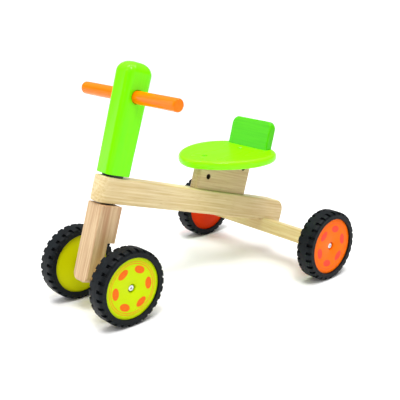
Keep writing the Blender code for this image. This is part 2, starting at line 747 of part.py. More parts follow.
def tyre_mesh():
    """A tyre about Z, with lips that hold the hub and two rows of slots open at the shoulders."""
    half = tyre_section()
    loop = [(-away, radius, share) for away, radius, share in reversed(half)] + half
    count = len(loop)
    inward = []
    for i in range(count):
        before = Vector(loop[i - 1][:2])
        after = Vector(loop[(i + 1) % count][:2])
        run = (after - before).normalized()
        inward.append(Vector((run.y, -run.x)))
    wall = 0.02
    stations = ((0, 0), (wall, 1), (TREAD_SLOT_SHARE - wall, 1), (TREAD_SLOT_SHARE, 0))
    bm = bmesh.new()
    rings = []
    for lug in range(TREAD_LUGS):
        for place, slot in stations:
            angle = 2 * math.pi * (lug + place) / TREAD_LUGS
            ring = []
            for (away, radius, share), push in zip(loop, inward):
                spot = Vector((away, radius)) + push * (TREAD_SLOT_DEPTH * slot * share)
                point = (spot.y * math.cos(angle), spot.y * math.sin(angle), spot.x)
                ring.append(bm.verts.new(point))
            rings.append(ring)
    for i in range(len(rings)):
        ring = rings[i - 1]
        beyond = rings[i]
        for k in range(count):
            m = (k + 1) % count
            bm.faces.new((ring[k], ring[m], beyond[m], beyond[k]))
    bmesh.ops.recalc_face_normals(bm, faces=bm.faces)
    mesh = bpy.data.meshes.new("tyre")
    bm.to_mesh(mesh)
    bm.free()
    return mesh


def hub_mesh():
    """A disc about Z, its outer face (+Z) recessed for the axle bolt's head."""
    rim = RIM_RADIUS + 0.0013
    outer = HUB_HALF_WIDTH
    bore = HUB_BUSH_RADIUS + GAP
    profile = [(RECESS_RADIUS, outer), (rim, outer), (rim, -outer), (bore, -outer)]
    profile += [(bore, outer - RECESS_DEPTH), (RECESS_RADIUS, outer - RECESS_DEPTH)]
    return baked_mesh(turned("hub", profile, yellow, steps=32, ring=True), "hub")


def hub_bush_mesh():
    inner = BOLT_RADIUS + GAP
    top = HUB_HALF_WIDTH - RECESS_DEPTH
    profile = [(inner, top), (HUB_BUSH_RADIUS, top), (HUB_BUSH_RADIUS, -HUB_HALF_WIDTH)]
    profile.append((inner, -HUB_HALF_WIDTH))
    return baked_mesh(turned("hub_bush", profile, black_nylon, ring=True), "hub_bush")


def make_wheel(name, side, centre, parent, paint, shapes):
    """Tyre, hub and bush on one axle; side is +1 on the left and -1 on the right."""
    axle = make_empty(name + "_wheel_axis", centre, parent=parent)
    turn = (0, side * math.pi / 2, 0)
    finishes = {"tyre": rubber, "hub": paint, "hub_bush": black_nylon}
    for label, mesh in shapes.items():
        shape = mesh.copy()
        shape.materials.clear()
        shape.materials.append(finishes[label])
        add_object(name + "_" + label, shape, finishes[label], axle, rotation=turn)


def make_axle_hardware(name, wheel_x, half_length, centre_s, centre_h, parent):
    """Bolts, threaded inserts and spacers at both ends of an axle block."""
    head_foot = wheel_x + HUB_HALF_WIDTH - RECESS_DEPTH + GAP
    head_top = head_foot + BOLT_HEAD_LENGTH
    tip = half_length - INSERT_LENGTH - 0.006
    floor = head_top - SOCKET_DEPTH
    bolt = [(0, floor), (SOCKET_RADIUS, floor), (SOCKET_RADIUS, head_top)]
    bolt += [(BOLT_HEAD_RADIUS - 0.0008, head_top), (BOLT_HEAD_RADIUS, head_top - 0.0008)]
    bolt += [(BOLT_HEAD_RADIUS, head_foot), (BOLT_RADIUS, head_foot), (BOLT_RADIUS, tip), (0, tip)]
    inner = BOLT_RADIUS + GAP
    end = half_length - 0.0005
    deep = end - INSERT_LENGTH
    insert = [(inner, end), (INSERT_RADIUS, end), (INSERT_RADIUS, deep), (inner, deep)]
    start = half_length + GAP
    stop = start + SPACER_LENGTH
    spacer = [(inner, stop), (SPACER_RADIUS, stop), (SPACER_RADIUS, start), (inner, start)]
    for side, sign in SIDES:
        at = (0, centre_s, centre_h)
        sideways = (0, sign * math.pi / 2, 0)
        label = name + "_" + side + "_axle_"
        turned(label + "bolt", bolt, bright_steel, parent, at, sideways)
        turned(label + "insert", insert, brass, parent, at, sideways, ring=True)
        turned(label + "spacer", spacer, steel, parent, at, sideways, ring=True)


# ---------------------------------------------------------------- assembly

clear_scene()
parts = make_collection("ride_on_trike")
cutters = make_collection("cutters")

rubberwood = material("rubberwood", 219, 198, 148, 0.5)
light_wood = material("light_wood", 225, 195, 135, 0.5)
dark_wood = material("dark_wood", 190, 165, 120, 0.55)
lime = material("lime_paint", 135, 245, 10, 0.3)
green = material("green_paint", 85, 220, 30, 0.35)
orange = material("orange_paint", 250, 135, 10, 0.35)
rear_orange = material("orange_hub", 250, 110, 20, 0.4)
yellow = material("yellow_hub", 205, 230, 10, 0.4)
rubber = material("rubber", 25, 30, 34, 0.8)
black_nylon = material("black_nylon", 18, 18, 20, 0.5)
steel = material("zinc_steel", 170, 172, 175, 0.35, 1.0)
dark_steel = material("blackened_steel", 60, 58, 55, 0.45, 1.0)
bright_steel = material("bright_steel", 205, 208, 210, 0.25, 1.0)
brass = material("brass", 190, 160, 90, 0.35, 1.0)

frame = make_empty("frame_axes", STEER_ORIGIN, -TILT)
steering = make_empty("steering_axis", STEER_ORIGIN, -TILT)

main_beam = make_main_beam()
rear_axle_beam, rear_half_length = make_rear_axle_beam()
seat_post = make_seat_post()
seat_board = make_seat()
make_seat_back(seat_board)
make_seat_fixings()
make_joinery(main_beam, seat_post, rear_axle_beam)
make_head_bushes()

steering_column = make_steering_column()
handlebar = make_handlebar()
fork_block = make_fork()
kingpin = make_kingpin()
make_stop_pin()
front_half_length = make_front_axle_block(fork_block)
screwed = (steering_column, handlebar)
make_cross_screw("handlebar_screw", BAR_HEIGHT, 0.004, BAR_SCREW_FACE, 0.0022, 0.0042, screwed)
screwed = (steering_column, kingpin)
make_cross_screw(
    "column_screw", COLUMN_SCREW_HEIGHT, 0.0015, COLUMN_SCREW_FACE, SCREW_RADIUS, 0.0045, screwed
)
screwed = (fork_block, kingpin)
make_cross_screw(
    "fork_screw", FORK_SCREW_HEIGHT, 0.0015, FORK_REAR, SCREW_RADIUS, 0.0045, screwed
)

wheel_shapes = {"tyre": tyre_mesh(), "hub": hub_mesh(), "hub_bush": hub_bush_mesh()}
rear_axle_point = Vector((0, WHEELBASE / 2, TYRE_RADIUS))
for wheel_name, wheel_side in SIDES:
    rear_centre = rear_axle_point + Vector((wheel_side * REAR_WHEEL_X, 0, 0))
    make_wheel("rear_" + wheel_name, wheel_side, rear_centre, None, rear_orange, wheel_shapes)
    front_centre = Vector((wheel_side * FRONT_WHEEL_X, AXLE_SETBACK, 0))
    make_wheel("front_" + wheel_name, wheel_side, front_centre, steering, yellow, wheel_shapes)
make_axle_hardware("rear", REAR_WHEEL_X, rear_half_length, REAR_AXLE_S, REAR_AXLE_H, frame)
make_axle_hardware("front", FRONT_WHEEL_X, front_half_length, AXLE_SETBACK, 0, steering)
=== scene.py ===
"""The look of a toddler's wooden ride-on trike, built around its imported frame.

Every piece is in metres, in the frame's own axes: the trike faces -Y and its left side is +X.
The beam, fork, column and seat post are square to the steering axis, so they are built in axes
tilted with it: x across, s rearwards along the beam, h up the steering axis.
"""

import json
import math

import bmesh
import bpy
import numpy as np
from mathutils import Matrix, Vector


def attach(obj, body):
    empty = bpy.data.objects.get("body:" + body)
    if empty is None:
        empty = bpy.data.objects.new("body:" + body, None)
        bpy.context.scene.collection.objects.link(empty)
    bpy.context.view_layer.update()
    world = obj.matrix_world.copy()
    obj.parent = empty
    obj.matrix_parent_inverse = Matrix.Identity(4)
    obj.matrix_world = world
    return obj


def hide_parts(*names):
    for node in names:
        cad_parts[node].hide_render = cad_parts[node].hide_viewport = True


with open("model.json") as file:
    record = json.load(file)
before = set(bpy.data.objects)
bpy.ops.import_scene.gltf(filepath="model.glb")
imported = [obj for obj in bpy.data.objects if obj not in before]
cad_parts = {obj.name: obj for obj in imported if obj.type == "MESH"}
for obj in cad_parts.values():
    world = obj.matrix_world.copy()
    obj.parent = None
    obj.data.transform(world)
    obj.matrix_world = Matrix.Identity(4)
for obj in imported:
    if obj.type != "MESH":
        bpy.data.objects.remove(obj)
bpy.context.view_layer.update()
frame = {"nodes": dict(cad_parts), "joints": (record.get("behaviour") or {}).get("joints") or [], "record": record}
joints = {joint["name"]: joint for joint in frame["joints"]}
mounts = {mount["name"]: mount for mount in frame["record"]["mounts"]}
scene = bpy.context.scene

ACROSS = Vector((1, 0, 0))
WORLD = Matrix.Identity(4)
WHEELS = ("front_left", "front_right", "rear_left", "rear_right")


# ---------------- places read from the frame

def axes_from(across, along, rise, origin):
    axes = Matrix((across, along, rise)).transposed().to_4x4()
    axes.translation = origin
    return axes


def aimed(origin, direction):
    """Axes at a point whose Z looks along a direction."""
    turn = Vector(direction).to_track_quat("Z", "Y").to_matrix().to_4x4()
    return Matrix.Translation(origin) @ turn


def extent(node, axes=WORLD, chosen=lambda point: True):
    """Lowest and highest corner of a CAD node in some axes, over the points chosen."""
    inverse = axes.inverted()
    points = [inverse @ vertex.co for vertex in frame["nodes"][node].data.vertices]
    points = np.array([point for point in points if chosen(point)])
    return Vector(points.min(0)), Vector(points.max(0))


def centre_of(node, axes=WORLD):
    low, high = extent(node, axes)
    return (low + high) / 2


RISE = Vector(joints["steering_turn"]["axis"]).normalized()
TILTED = axes_from(ACROSS, RISE.cross(ACROSS), RISE, joints["steering_turn"]["pos_m"])
BACKWARD = Vector(mounts["seat_back_rear_face"]["axis"]).normalized()
LEANING = axes_from(ACROSS, BACKWARD, ACROSS.cross(BACKWARD), (0, 0, 0))


def wheel_axes(wheel):
    """Axes at a wheel's centre whose Z points out of the trike along its axle."""
    centre = joints[wheel + "_wheel_spin"]["pos_m"]
    side = math.copysign(1, centre[0])
    return Matrix.Translation(centre) @ Matrix.Rotation(side * math.pi / 2, 4, "Y")


# ---------------- materials

def srgb(red, green, blue):
    """A display colour, 0 to 255, as the linear colour that a shader takes."""
    values = [channel / 255 for channel in (red, green, blue)]
    values = [v / 12.92 if v <= 0.04045 else ((v + 0.055) / 1.055) ** 2.4 for v in values]
    return (*values, 1)


class Finish:
    """A material under construction, with short calls for the nodes it is made of."""

    def __init__(self, name, metallic=0.0, coat=0.0, coat_roughness=0.1, coat_ior=1.5, specular=0.5, ior=1.5):
        self.material = bpy.data.materials.new(name)
        self.material.use_nodes = True
        self.tree = self.material.node_tree
        self.shader = self.tree.nodes["Principled BSDF"]
        values = {"Metallic": metallic, "Coat Weight": coat, "Coat Roughness": coat_roughness,
                  "Coat IOR": coat_ior, "Specular IOR Level": specular, "IOR": ior}
        for key, value in values.items():
            self.shader.inputs[key].default_value = value
        self.place = self.node("ShaderNodeTexCoord").outputs["Object"]

    def node(self, kind, inputs=None, **settings):
        made = self.tree.nodes.new(kind)
        for key, value in settings.items():
            setattr(made, key, value)
        for key, value in (inputs or {}).items():
            if isinstance(value, bpy.types.NodeSocket):
                self.tree.links.new(value, made.inputs[key])
            else:
                made.inputs[key].default_value = value
        return made

    def math(self, operation, first, second=0.0, clamp=False):
        inputs = {0: first, 1: second}
        return self.node("ShaderNodeMath", inputs, operation=operation, use_clamp=clamp).outputs[0]

    def plus(self, first, second, clamp=False):
        return self.math("ADD", first, second, clamp)

    def times(self, first, second):
        return self.math("MULTIPLY", first, second)

    def reach(self, place, centre, stretch):
        """Distance from a centre, after each direction is stretched; 0 leaves a direction out."""
        away = self.node("ShaderNodeVectorMath", {0: place, 1: centre}, operation="SUBTRACT").outputs[0]
        flat = self.node("ShaderNodeVectorMath", {0: away, 1: stretch}, operation="MULTIPLY").outputs[0]
        return self.node("ShaderNodeVectorMath", {0: flat}, operation="LENGTH").outputs["Value"]

    def from_axle(self):
        """Distance from the Z axis, which is a wheel's axle."""
        return self.reach(self.place, (0, 0, 0), (1, 1, 0))

    def coordinates(self):
        return self.node("ShaderNodeSeparateXYZ", {"Vector": self.place}).outputs

    def turned(self, along):
        """Object coordinates turned so that the grain's direction becomes Y."""
        turn = {"x": (0, 0, math.pi / 2), "y": (0, 0, 0), "z": (-math.pi / 2, 0, 0)}[along]
        inputs = {"Vector": self.place, "Rotation": turn}
        return self.node("ShaderNodeMapping", inputs).outputs[0]

    def noise(self, place, stretch, detail=3.0, roughness=0.55, offset=(0, 0, 0)):
        """Noise whose features are 1 / stretch metres in each direction, or in all of them."""
        if not isinstance(stretch, tuple):
            stretch = (stretch, stretch, stretch)
        inputs = {"Vector": place, "Scale": stretch, "Location": offset}
        scaled = self.node("ShaderNodeMapping", inputs).outputs[0]
        inputs = {"Vector": scaled, "Scale": 1.0, "Detail": detail, "Roughness": roughness}
        return self.node("ShaderNodeTexNoise", inputs).outputs[0]

    def spread(self, value, low, high, to_low=0.0, to_high=1.0):
        """A value's range stretched onto another, smoothly and clamped."""
        inputs = {"Value": value, "From Min": low, "From Max": high, "To Min": to_low, "To Max": to_high}
        return self.node("ShaderNodeMapRange", inputs, interpolation_type="SMOOTHSTEP").outputs[0]

    def mix(self, share, first, second):
        inputs = {0: share, 6: first, 7: second}
        return self.node("ShaderNodeMix", inputs, data_type="RGBA").outputs[2]

    def bump(self, height, strength, distance, under=None):
        inputs = {"Height": height, "Strength": strength, "Distance": distance}
        if under is not None:
            inputs["Normal"] = under
        return self.node("ShaderNodeBump", inputs).outputs[0]

    def done(self, colour, roughness, normal):
        for key, value in {"Base Color": colour, "Roughness": roughness, "Normal": normal}.items():
            self.tree.links.new(value, self.shader.inputs[key])
        return self.material


RING_RATE = 1050.0               # growth rings, in radians per metre from the pith
RING_SWAY = 0.022                # how far the rings wander
SHADE_SPOT_STRETCH = 0.45              # a spot of painted shade is drawn out along the grain
BORE_EDGE = (0.0056, 0.0062)     # the painted shade in a drilled hole fades out between these radii
BORE_SHADE = srgb(34, 20, 10)


def wood(name, light, dark, pore, along, pith, crevice_shade=None, bores=()):
    """Varnished timber: faint growth rings about a distant pith, fibres and short pores."""
    finish = Finish(name, coat=0.12, coat_roughness=0.25, specular=0.35)
    grain = finish.turned(along)
    sway = finish.noise(grain, (9, 2.5, 9), detail=2)
    reach = finish.plus(finish.reach(grain, pith, (1, 0.02, 1)), finish.times(sway, RING_SWAY))
    rings = finish.spread(finish.math("SINE", finish.times(reach, RING_RATE)), -0.6, 1.0)
    broad = finish.noise(grain, (22, 5, 22), detail=3, offset=(3, 1, 2))
    streaks = finish.noise(grain, (210, 6, 210), detail=5, roughness=0.65)
    fibres = finish.noise(grain, (1100, 26, 1100), detail=4, roughness=0.7)
    dashes = finish.noise(grain, (900, 48, 900), detail=1, offset=(7, 5, 1))
    pores = finish.spread(dashes, 0.64, 0.76)
    tone = finish.plus(finish.times(rings, 0.2), finish.spread(broad, 0.35, 0.7, 0.0, 0.5))
    tone = finish.plus(tone, finish.spread(streaks, 0.32, 0.68, -0.15, 0.6), clamp=True)
    colour = finish.mix(tone, light, dark)
    colour = finish.mix(finish.spread(fibres, 0.3, 0.75, 0.0, 0.28), colour, dark)
    colour = finish.mix(finish.times(pores, 0.32), colour, pore)
    # Painted shade: a dark spot where the beam's underside meets the rear axle beam.
    if crevice_shade is not None:
        colour = crevice_shade_spot(finish, grain, colour, pore, crevice_shade)
    # Painted shade: each drilled bore's wall and lip are darkened as a shaded hole would be.
    for centre in bores:
        inside = finish.spread(finish.reach(finish.place, centre, (0, 1, 1)), *BORE_EDGE, 0.92, 0.0)
        colour = finish.mix(inside, colour, BORE_SHADE)
    roughness = finish.spread(fibres, 0.25, 0.75, 0.36, 0.5)
    relief = finish.plus(finish.times(pores, -0.8), finish.times(fibres, 0.5))
    relief = finish.plus(relief, finish.times(rings, 0.15))
    return finish.done(colour, roughness, finish.bump(relief, 0.3, 0.00015))


def crevice_shade_spot(finish, grain, colour, dark, centre):
    """A small spot of painted shade, darker in its middle, drawn out along the grain."""
    ragged = finish.noise(grain, (400, 200, 400), detail=3)
    reach = finish.plus(finish.reach(grain, centre, (1.0, SHADE_SPOT_STRETCH, 1.0)), finish.times(ragged, 0.0015))
    shade_fringe = finish.spread(reach, 0.0012, 0.0065, 0.4, 0.0)
    shade_core = finish.spread(reach, 0.0012, 0.0028, 0.75, 0.0)
    return finish.mix(shade_core, finish.mix(shade_fringe, colour, dark), dark)


def lacquer(finish, colour, deep, along, gloss):
    """Opaque lacquer on timber: the grain shows as a faint streak and a slight ripple."""
    grain = finish.turned(along)
    broad = finish.noise(grain, (14, 5, 14), detail=2, offset=(2, 4, 1))
    streaks = finish.noise(grain, (230, 9, 230), detail=5, roughness=0.62)
    fibres = finish.noise(grain, (1100, 40, 1100), detail=3, roughness=0.6)
    peel = finish.noise(finish.place, 420, detail=1)
    scuffs = finish.noise(grain, (95, 320, 95), detail=4, roughness=0.75, offset=(5, 9, 3))
    tone = finish.spread(streaks, 0.32, 0.72, 0.0, 0.3)
    tone = finish.plus(tone, finish.spread(broad, 0.35, 0.7, 0.0, 0.16))
    tone = finish.plus(tone, finish.spread(fibres, 0.3, 0.8, 0.0, 0.1), clamp=True)
    colour = finish.mix(tone, colour, deep)
    roughness = finish.spread(broad, 0.3, 0.7, gloss, gloss + 0.07)
    roughness = finish.plus(roughness, finish.times(finish.spread(scuffs, 0.68, 0.8), 0.16))
    ripple = finish.bump(streaks, 0.14, 0.00018)
    ripple = finish.bump(fibres, 0.14, 0.00006, ripple)
    return colour, roughness, finish.bump(peel, 0.12, 0.0001, ripple)


def painted(name, colour, deep, along, gloss=0.24):
    finish = Finish(name, coat=0.5, coat_roughness=0.07, coat_ior=1.35, ior=1.12)
    return finish.done(*lacquer(finish, colour, deep, along, gloss))


SPOT_COUNT = 6
SPOT_PITCH = 0.0377
SPOT_HALF_LENGTH = 0.0122
SPOT_HALF_HEIGHT = 0.0074
OUTER_FACE = (0.0143, 0.0146)      # printing fades in between these heights along the axle
INNER_FACE = (-0.0146, -0.0140)


def painted_hub(name, colour, deep, inner, spot, ring, rings, phase):
    """A painted wheel disc; its outer face has six printed ovals and one or two thin rings."""
    finish = Finish(name, ior=1.16)
    ground, roughness, normal = lacquer(finish, colour, deep, "y", 0.3)
    x, y, z = finish.coordinates()
    radius = finish.from_axle()
    sector = 2 * math.pi / SPOT_COUNT
    angle = finish.plus(finish.math("ARCTAN2", y, x), 2 * math.pi + sector / 2 - math.radians(phase))
    folded = finish.math("SUBTRACT", finish.math("MODULO", angle, sector), sector / 2)
    out = finish.math("SUBTRACT", finish.times(radius, finish.math("COSINE", folded)), SPOT_PITCH)
    out = finish.math("DIVIDE", out, SPOT_HALF_HEIGHT)
    across = finish.times(radius, finish.math("SINE", folded))
    across = finish.math("DIVIDE", across, SPOT_HALF_LENGTH)
    away = finish.math("SQRT", finish.plus(finish.times(out, out), finish.times(across, across)))
    ragged = finish.noise(finish.place, 700, detail=2)
    away = finish.plus(away, finish.times(ragged, 0.05))
    outer = finish.spread(z, *OUTER_FACE)
    ground = finish.mix(finish.spread(z, *INNER_FACE, 1.0, 0.0), ground, inner)
    spots = finish.times(finish.spread(away, 1.0, 1.05, 1.0, 0.0), outer)
    ink = finish.spread(ragged, 0.3, 0.75, 1.0, 0.86)
    colour = finish.mix(finish.times(spots, ink), ground, spot)
    for place, width in rings:
        off = finish.math("ABSOLUTE", finish.math("SUBTRACT", radius, place))
        line = finish.times(finish.spread(off, width * 0.4, width * 0.6, 1.0, 0.0), outer)
        colour = finish.mix(finish.times(line, ink), colour, ring)
    return finish.done(colour, roughness, normal)


SLOT_SHADE_RADII = (0.0716, 0.0738)      # radii between which the painted shade in the tread's slots fades out
TREAD_EDGE = (0.0158, 0.0168)      # the shoulders beyond these offsets get no painted shade


def rubber(name):
    """Moulded tyre rubber, a little dusty and cloudy, with painted shade down in the tread's slots."""
    finish = Finish(name, ior=1.24)
    cloud = finish.noise(finish.place, 45, detail=5, roughness=0.65)
    grit = finish.noise(finish.place, 1500, detail=2)
    marks = finish.noise(finish.place, (120, 120, 420), detail=4, roughness=0.7, offset=(1, 6, 2))
    colour = finish.mix(finish.spread(cloud, 0.35, 0.72), srgb(7, 11, 15), srgb(17, 24, 28))
    colour = finish.mix(finish.spread(marks, 0.58, 0.78, 0.0, 0.35), colour, srgb(36, 46, 50))
    # Painted shade: the rubber is darkened down in the tread's slots.
    slot_shade = finish.spread(finish.from_axle(), *SLOT_SHADE_RADII, 0.85, 0.0)
    tread = finish.spread(finish.math("ABSOLUTE", finish.coordinates()[2]), *TREAD_EDGE, 1.0, 0.0)
    colour = finish.mix(finish.times(slot_shade, tread), colour, srgb(6, 8, 10))
    roughness = finish.spread(cloud, 0.3, 0.7, 0.44, 0.6)
    normal = finish.bump(marks, 0.15, 0.0002)
    return finish.done(colour, roughness, finish.bump(grit, 0.25, 0.00008, normal))


def metal(name, light, dark, roughness):
    """Plated steel or brass: drawn lines along the axis and cloudy plating."""
    finish = Finish(name, metallic=1.0)
    lines = finish.noise(finish.place, (60, 60, 900), detail=4, roughness=0.7)
    cloud = finish.noise(finish.place, 260, detail=3)
    colour = finish.mix(finish.spread(cloud, 0.3, 0.7), light, dark)
    varied = finish.spread(lines, 0.3, 0.7, roughness, roughness + 0.14)
    return finish.done(colour, varied, finish.bump(lines, 0.25, 0.00006))


def nylon(name):
    finish = Finish(name, specular=0.45)
    grain = finish.noise(finish.place, 1300, detail=2)
    cloud = finish.noise(finish.place, 90, detail=3)
    colour = finish.mix(finish.spread(cloud, 0.3, 0.7), srgb(20, 20, 22), srgb(34, 34, 37))
    roughness = finish.spread(cloud, 0.3, 0.7, 0.42, 0.56)
    return finish.done(colour, roughness, finish.bump(grain, 0.3, 0.00008))


PORE = srgb(158, 116, 66)
# Where the beam's underside meets the rear axle beam: a spot of painted shade.
BEAM_CREVICE_SHADE = (0.021, 0.4217, 0.1408)
NUT_BORES = [TILTED.inverted() @ centre_of("seat_barrel_nut_" + end) for end in ("front", "rear")]

beam_wood = wood("rubberwood_beam", srgb(228, 211, 166), srgb(200, 174, 118), PORE, "y",
                 (-0.03, -0.2, -0.10), crevice_shade=BEAM_CREVICE_SHADE)
axle_wood = wood("rubberwood_axle_beam", srgb(224, 208, 154), srgb(198, 170, 106), PORE, "x",
                 (-0.05, -0.1, -0.02))
fork_wood = wood("pale_fork_wood", srgb(216, 191, 149), srgb(178, 136, 96), srgb(138, 92, 58), "z",
                 (-0.06, -0.1, 0.04))
post_wood = wood("brown_post_wood", srgb(213, 190, 145), srgb(188, 155, 112), srgb(146, 106, 76), "y",
                 (-0.04, -0.05, -0.13), bores=NUT_BORES)
dowel_wood = wood("dowel_wood", srgb(214, 190, 144), srgb(184, 152, 108), PORE, "z", (-0.02, 0, -0.03))
lime_column = painted("lime_column_paint", srgb(124, 241, 0), srgb(96, 229, 0), "z")
lime_seat = painted("lime_seat_paint", srgb(141, 244, 0), srgb(125, 236, 0), "y")
green_board = painted("green_board_paint", srgb(86, 200, 6), srgb(50, 166, 0), "x", 0.32)
green_bolt = painted("green_bolt_paint", srgb(92, 190, 6), srgb(70, 160, 2), "x", 0.34)
orange_bar = painted("orange_bar_paint", srgb(250, 128, 0), srgb(232, 94, 0), "x")
rear_paint = painted_hub(
    "orange_hub_paint",
    colour=srgb(249, 113, 4),
    deep=srgb(242, 97, 0),
    inner=srgb(216, 52, 0),
    spot=srgb(246, 66, 52),
    ring=srgb(244, 84, 34),
    rings=((0.0505, 0.0012),),
    phase=-17.7,
)
front_paint = painted_hub(
    "yellow_hub_paint",
    colour=srgb(196, 219, 0),
    deep=srgb(181, 206, 0),
    inner=srgb(198, 204, 0),
    spot=srgb(232, 92, 24),
    ring=srgb(232, 92, 30),
    rings=((0.0482, 0.0013), (0.0520, 0.0011)),
    phase=-28.8,
)
tyre_rubber = rubber("tyre_rubber_look")
zinc = metal("zinc_plate", srgb(196, 198, 200), srgb(168, 171, 176), 0.28)
bright = metal("bright_plate", srgb(226, 228, 230), srgb(202, 205, 210), 0.16)
blackened = metal("blackened_plate", srgb(46, 34, 26), srgb(30, 22, 17), 0.42)
brass_plain = metal("plain_brass", srgb(206, 176, 104), srgb(182, 150, 80), 0.3)
nylon_black = nylon("black_nylon_look")


# ---------------- mesh helpers

GAP = 0.0003             # clearance left round a piece that sits in a cut
PAST = 0.01              # how far a cutter runs out past the face that it opens
CORNER_STEPS = 14
EASED_ANGLE = 40         # edges of a block turning by more than this are eased


def as_mesh(bm, name):
    mesh = bpy.data.meshes.new(name)
    bm.to_mesh(mesh)
    bm.free()
    return mesh


def put(name, data):
    """A new object in the scene."""
    obj = bpy.data.objects.new(name, data)
    scene.collection.objects.link(obj)
    return obj


def carve(obj, cutters):
    """Cuts meshes, given in the object's own axes, out of it and keeps the result."""
    helpers = []
    for mesh in cutters:
        helper = put("cutter", mesh)
        helper.matrix_world = obj.matrix_world
        boolean = obj.modifiers.new("cut", "BOOLEAN")
        boolean.operation = "DIFFERENCE"
        boolean.solver = "EXACT"
        boolean.object = helper
        helpers.append(helper)
    bpy.context.view_layer.update()
    graph = bpy.context.evaluated_depsgraph_get()
    carved = bpy.data.meshes.new_from_object(obj.evaluated_get(graph))
    obj.modifiers.clear()
    obj.data = carved
    for helper in helpers:
        bpy.data.objects.remove(helper, do_unlink=True)


def even_shading(obj):
    obj.modifiers.new("even shading", "WEIGHTED_NORMAL").keep_sharp = True


def add_piece(name, bm, axes, body, finish, nodes, cutters=(), sharp=35, weighted=False):
    """Puts a mesh in place, gives it its finish and lets it stand for CAD nodes."""
    bmesh.ops.recalc_face_normals(bm, faces=bm.faces)
    mesh = as_mesh(bm, name)
    mesh.materials.append(finish)
    obj = put(name, mesh)
    obj.matrix_world = axes
    if cutters:
        carve(obj, cutters)
    obj.data.shade_smooth()
    obj.data.set_sharp_from_angle(angle=math.radians(sharp))
    if weighted:
        even_shading(obj)
    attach(obj, body)
    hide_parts(*nodes)
    return obj


def box_place(low, high):
    """The matrix that turns a unit cube into the box between two corners."""
    low = Vector(low)
    high = Vector(high)
    return Matrix.Translation((low + high) / 2) @ Matrix.Diagonal((*(high - low), 1))


def block(low, high, rounds, ease, steps=5):
    """A box with some corners rounded by (axis, test, radius) and every edge eased."""
    bm = bmesh.new()
    bmesh.ops.create_cube(bm, size=1, matrix=box_place(low, high))
    for axis, test, radius in rounds:
        picked = []
        for edge in bm.edges:
            run = edge.verts[1].co - edge.verts[0].co
            if abs(run[axis]) > 0.99 * run.length and test((edge.verts[0].co + edge.verts[1].co) / 2):
                picked.append(edge)
        bmesh.ops.bevel(bm, geom=picked, offset=radius, segments=CORNER_STEPS, profile=0.5, affect="EDGES")
    sharp = [edge for edge in bm.edges if edge.calc_face_angle(0) > math.radians(EASED_ANGLE)]
    bmesh.ops.bevel(bm, geom=sharp, offset=ease, segments=steps, profile=0.5, affect="EDGES")
    return bm


def cutter_box(low, high):
    bm = bmesh.new()
    bmesh.ops.create_cube(bm, size=1, matrix=box_place(low, high))
    return as_mesh(bm, "cutter")


def cutter_turned(profile, axes=WORLD, steps=48):
    """A closed turned cutter: (radius, height) from its bottom to its top, about Z of the axes."""
    bm = turned(profile, steps)
    bmesh.ops.transform(bm, matrix=axes, verts=bm.verts)
    bmesh.ops.recalc_face_normals(bm, faces=bm.faces)
    return as_mesh(bm, "cutter")


def sink_cutter(place, outwards, radius, depth, lip, flare):
    """A screw's counterbore at a point on a face, its lip opened outwards."""
    profile = [(0, -depth), (radius, -depth), (radius + 0.0001, -lip), (radius + flare, PAST), (0, PAST)]
    return cutter_turned(profile, aimed(place, outwards))


def turned(profile, steps=64, ring=False):
    """A profile of (radius, height) turned about Z; points on the axis close it."""
    bm = bmesh.new()
    angles = [2 * math.pi * i / steps for i in range(steps)]
    rings = []
    for radius, height in profile:
        if radius < 1e-7:
            rings.append([bm.verts.new((0, 0, height))])
        else:
            rings.append([bm.verts.new((radius * math.cos(a), radius * math.sin(a), height)) for a in angles])
    pairs = list(zip(rings, rings[1:]))
    if ring:
        pairs.append((rings[-1], rings[0]))
    for first, second in pairs:
        for i in range(steps):
            j = (i + 1) % steps
            if len(first) == 1:
                bm.faces.new((first[0], second[i], second[j]))
            elif len(second) == 1:
                bm.faces.new((first[i], first[j], second[0]))
            else:
                bm.faces.new((first[i], first[j], second[j], second[i]))
    return bm


def arc(centre, radius, start, end, steps):
    """Points of an arc in a profile's plane; angles in degrees."""
    angles = [math.radians(start + (end - start) * i / steps) for i in range(steps + 1)]
    return [(centre[0] + radius * math.cos(a), centre[1] + radius * math.sin(a)) for a in angles]


def lofted(rings):
    """A closed body through equal rings of points, its two ends capped."""
    bm = bmesh.new()
    made = [[bm.verts.new(point) for point in ring] for ring in rings]
    for lower, upper in zip(made, made[1:]):
        for i in range(len(lower)):
            j = (i + 1) % len(lower)
            bm.faces.new((lower[i], lower[j], upper[j], upper[i]))
    bm.faces.new(made[-1])
    bm.faces.new(list(reversed(made[0])))
    return bm


# ---------------- timber pieces

TIMBER_SINK = {"radius": 0.0053, "depth": 0.0045, "lip": 0.0008, "flare": 0.0013}
BLOCK_SINK = {"radius": 0.0053, "depth": 0.0065, "lip": 0.0008, "flare": 0.0013}
FORK_SINK = {"radius": 0.0048, "depth": 0.0065, "lip": 0.0006, "flare": 0.0012}
NOSE_RADIUS = 0.016
TAIL_RADIUS = 0.024
TAIL_START = 0.4
BEAM_EASE = 0.0035
BLOCK_EASE = 0.0025
INSERT_DEPTH = 0.0195
INSERT_RADIUS = 0.0068
FORK_FOOT_RADIUS = 0.014
NOTCH_EASE = 0.0016
POST_CORNER = 0.007
POST_EASE = 0.0009
NUT_BORE_RADIUS = 0.0053
NUT_BORE_FLARE = 0.0011


def sinks_below(nodes, level):
    """Counterbores for screws that enter a timber's underside at a level."""
    cutters = []
    for node in nodes:
        middle = centre_of(node, TILTED)
        cutters.append(sink_cutter((middle.x, middle.y, level), (0, 0, -1), **TIMBER_SINK))
    return cutters


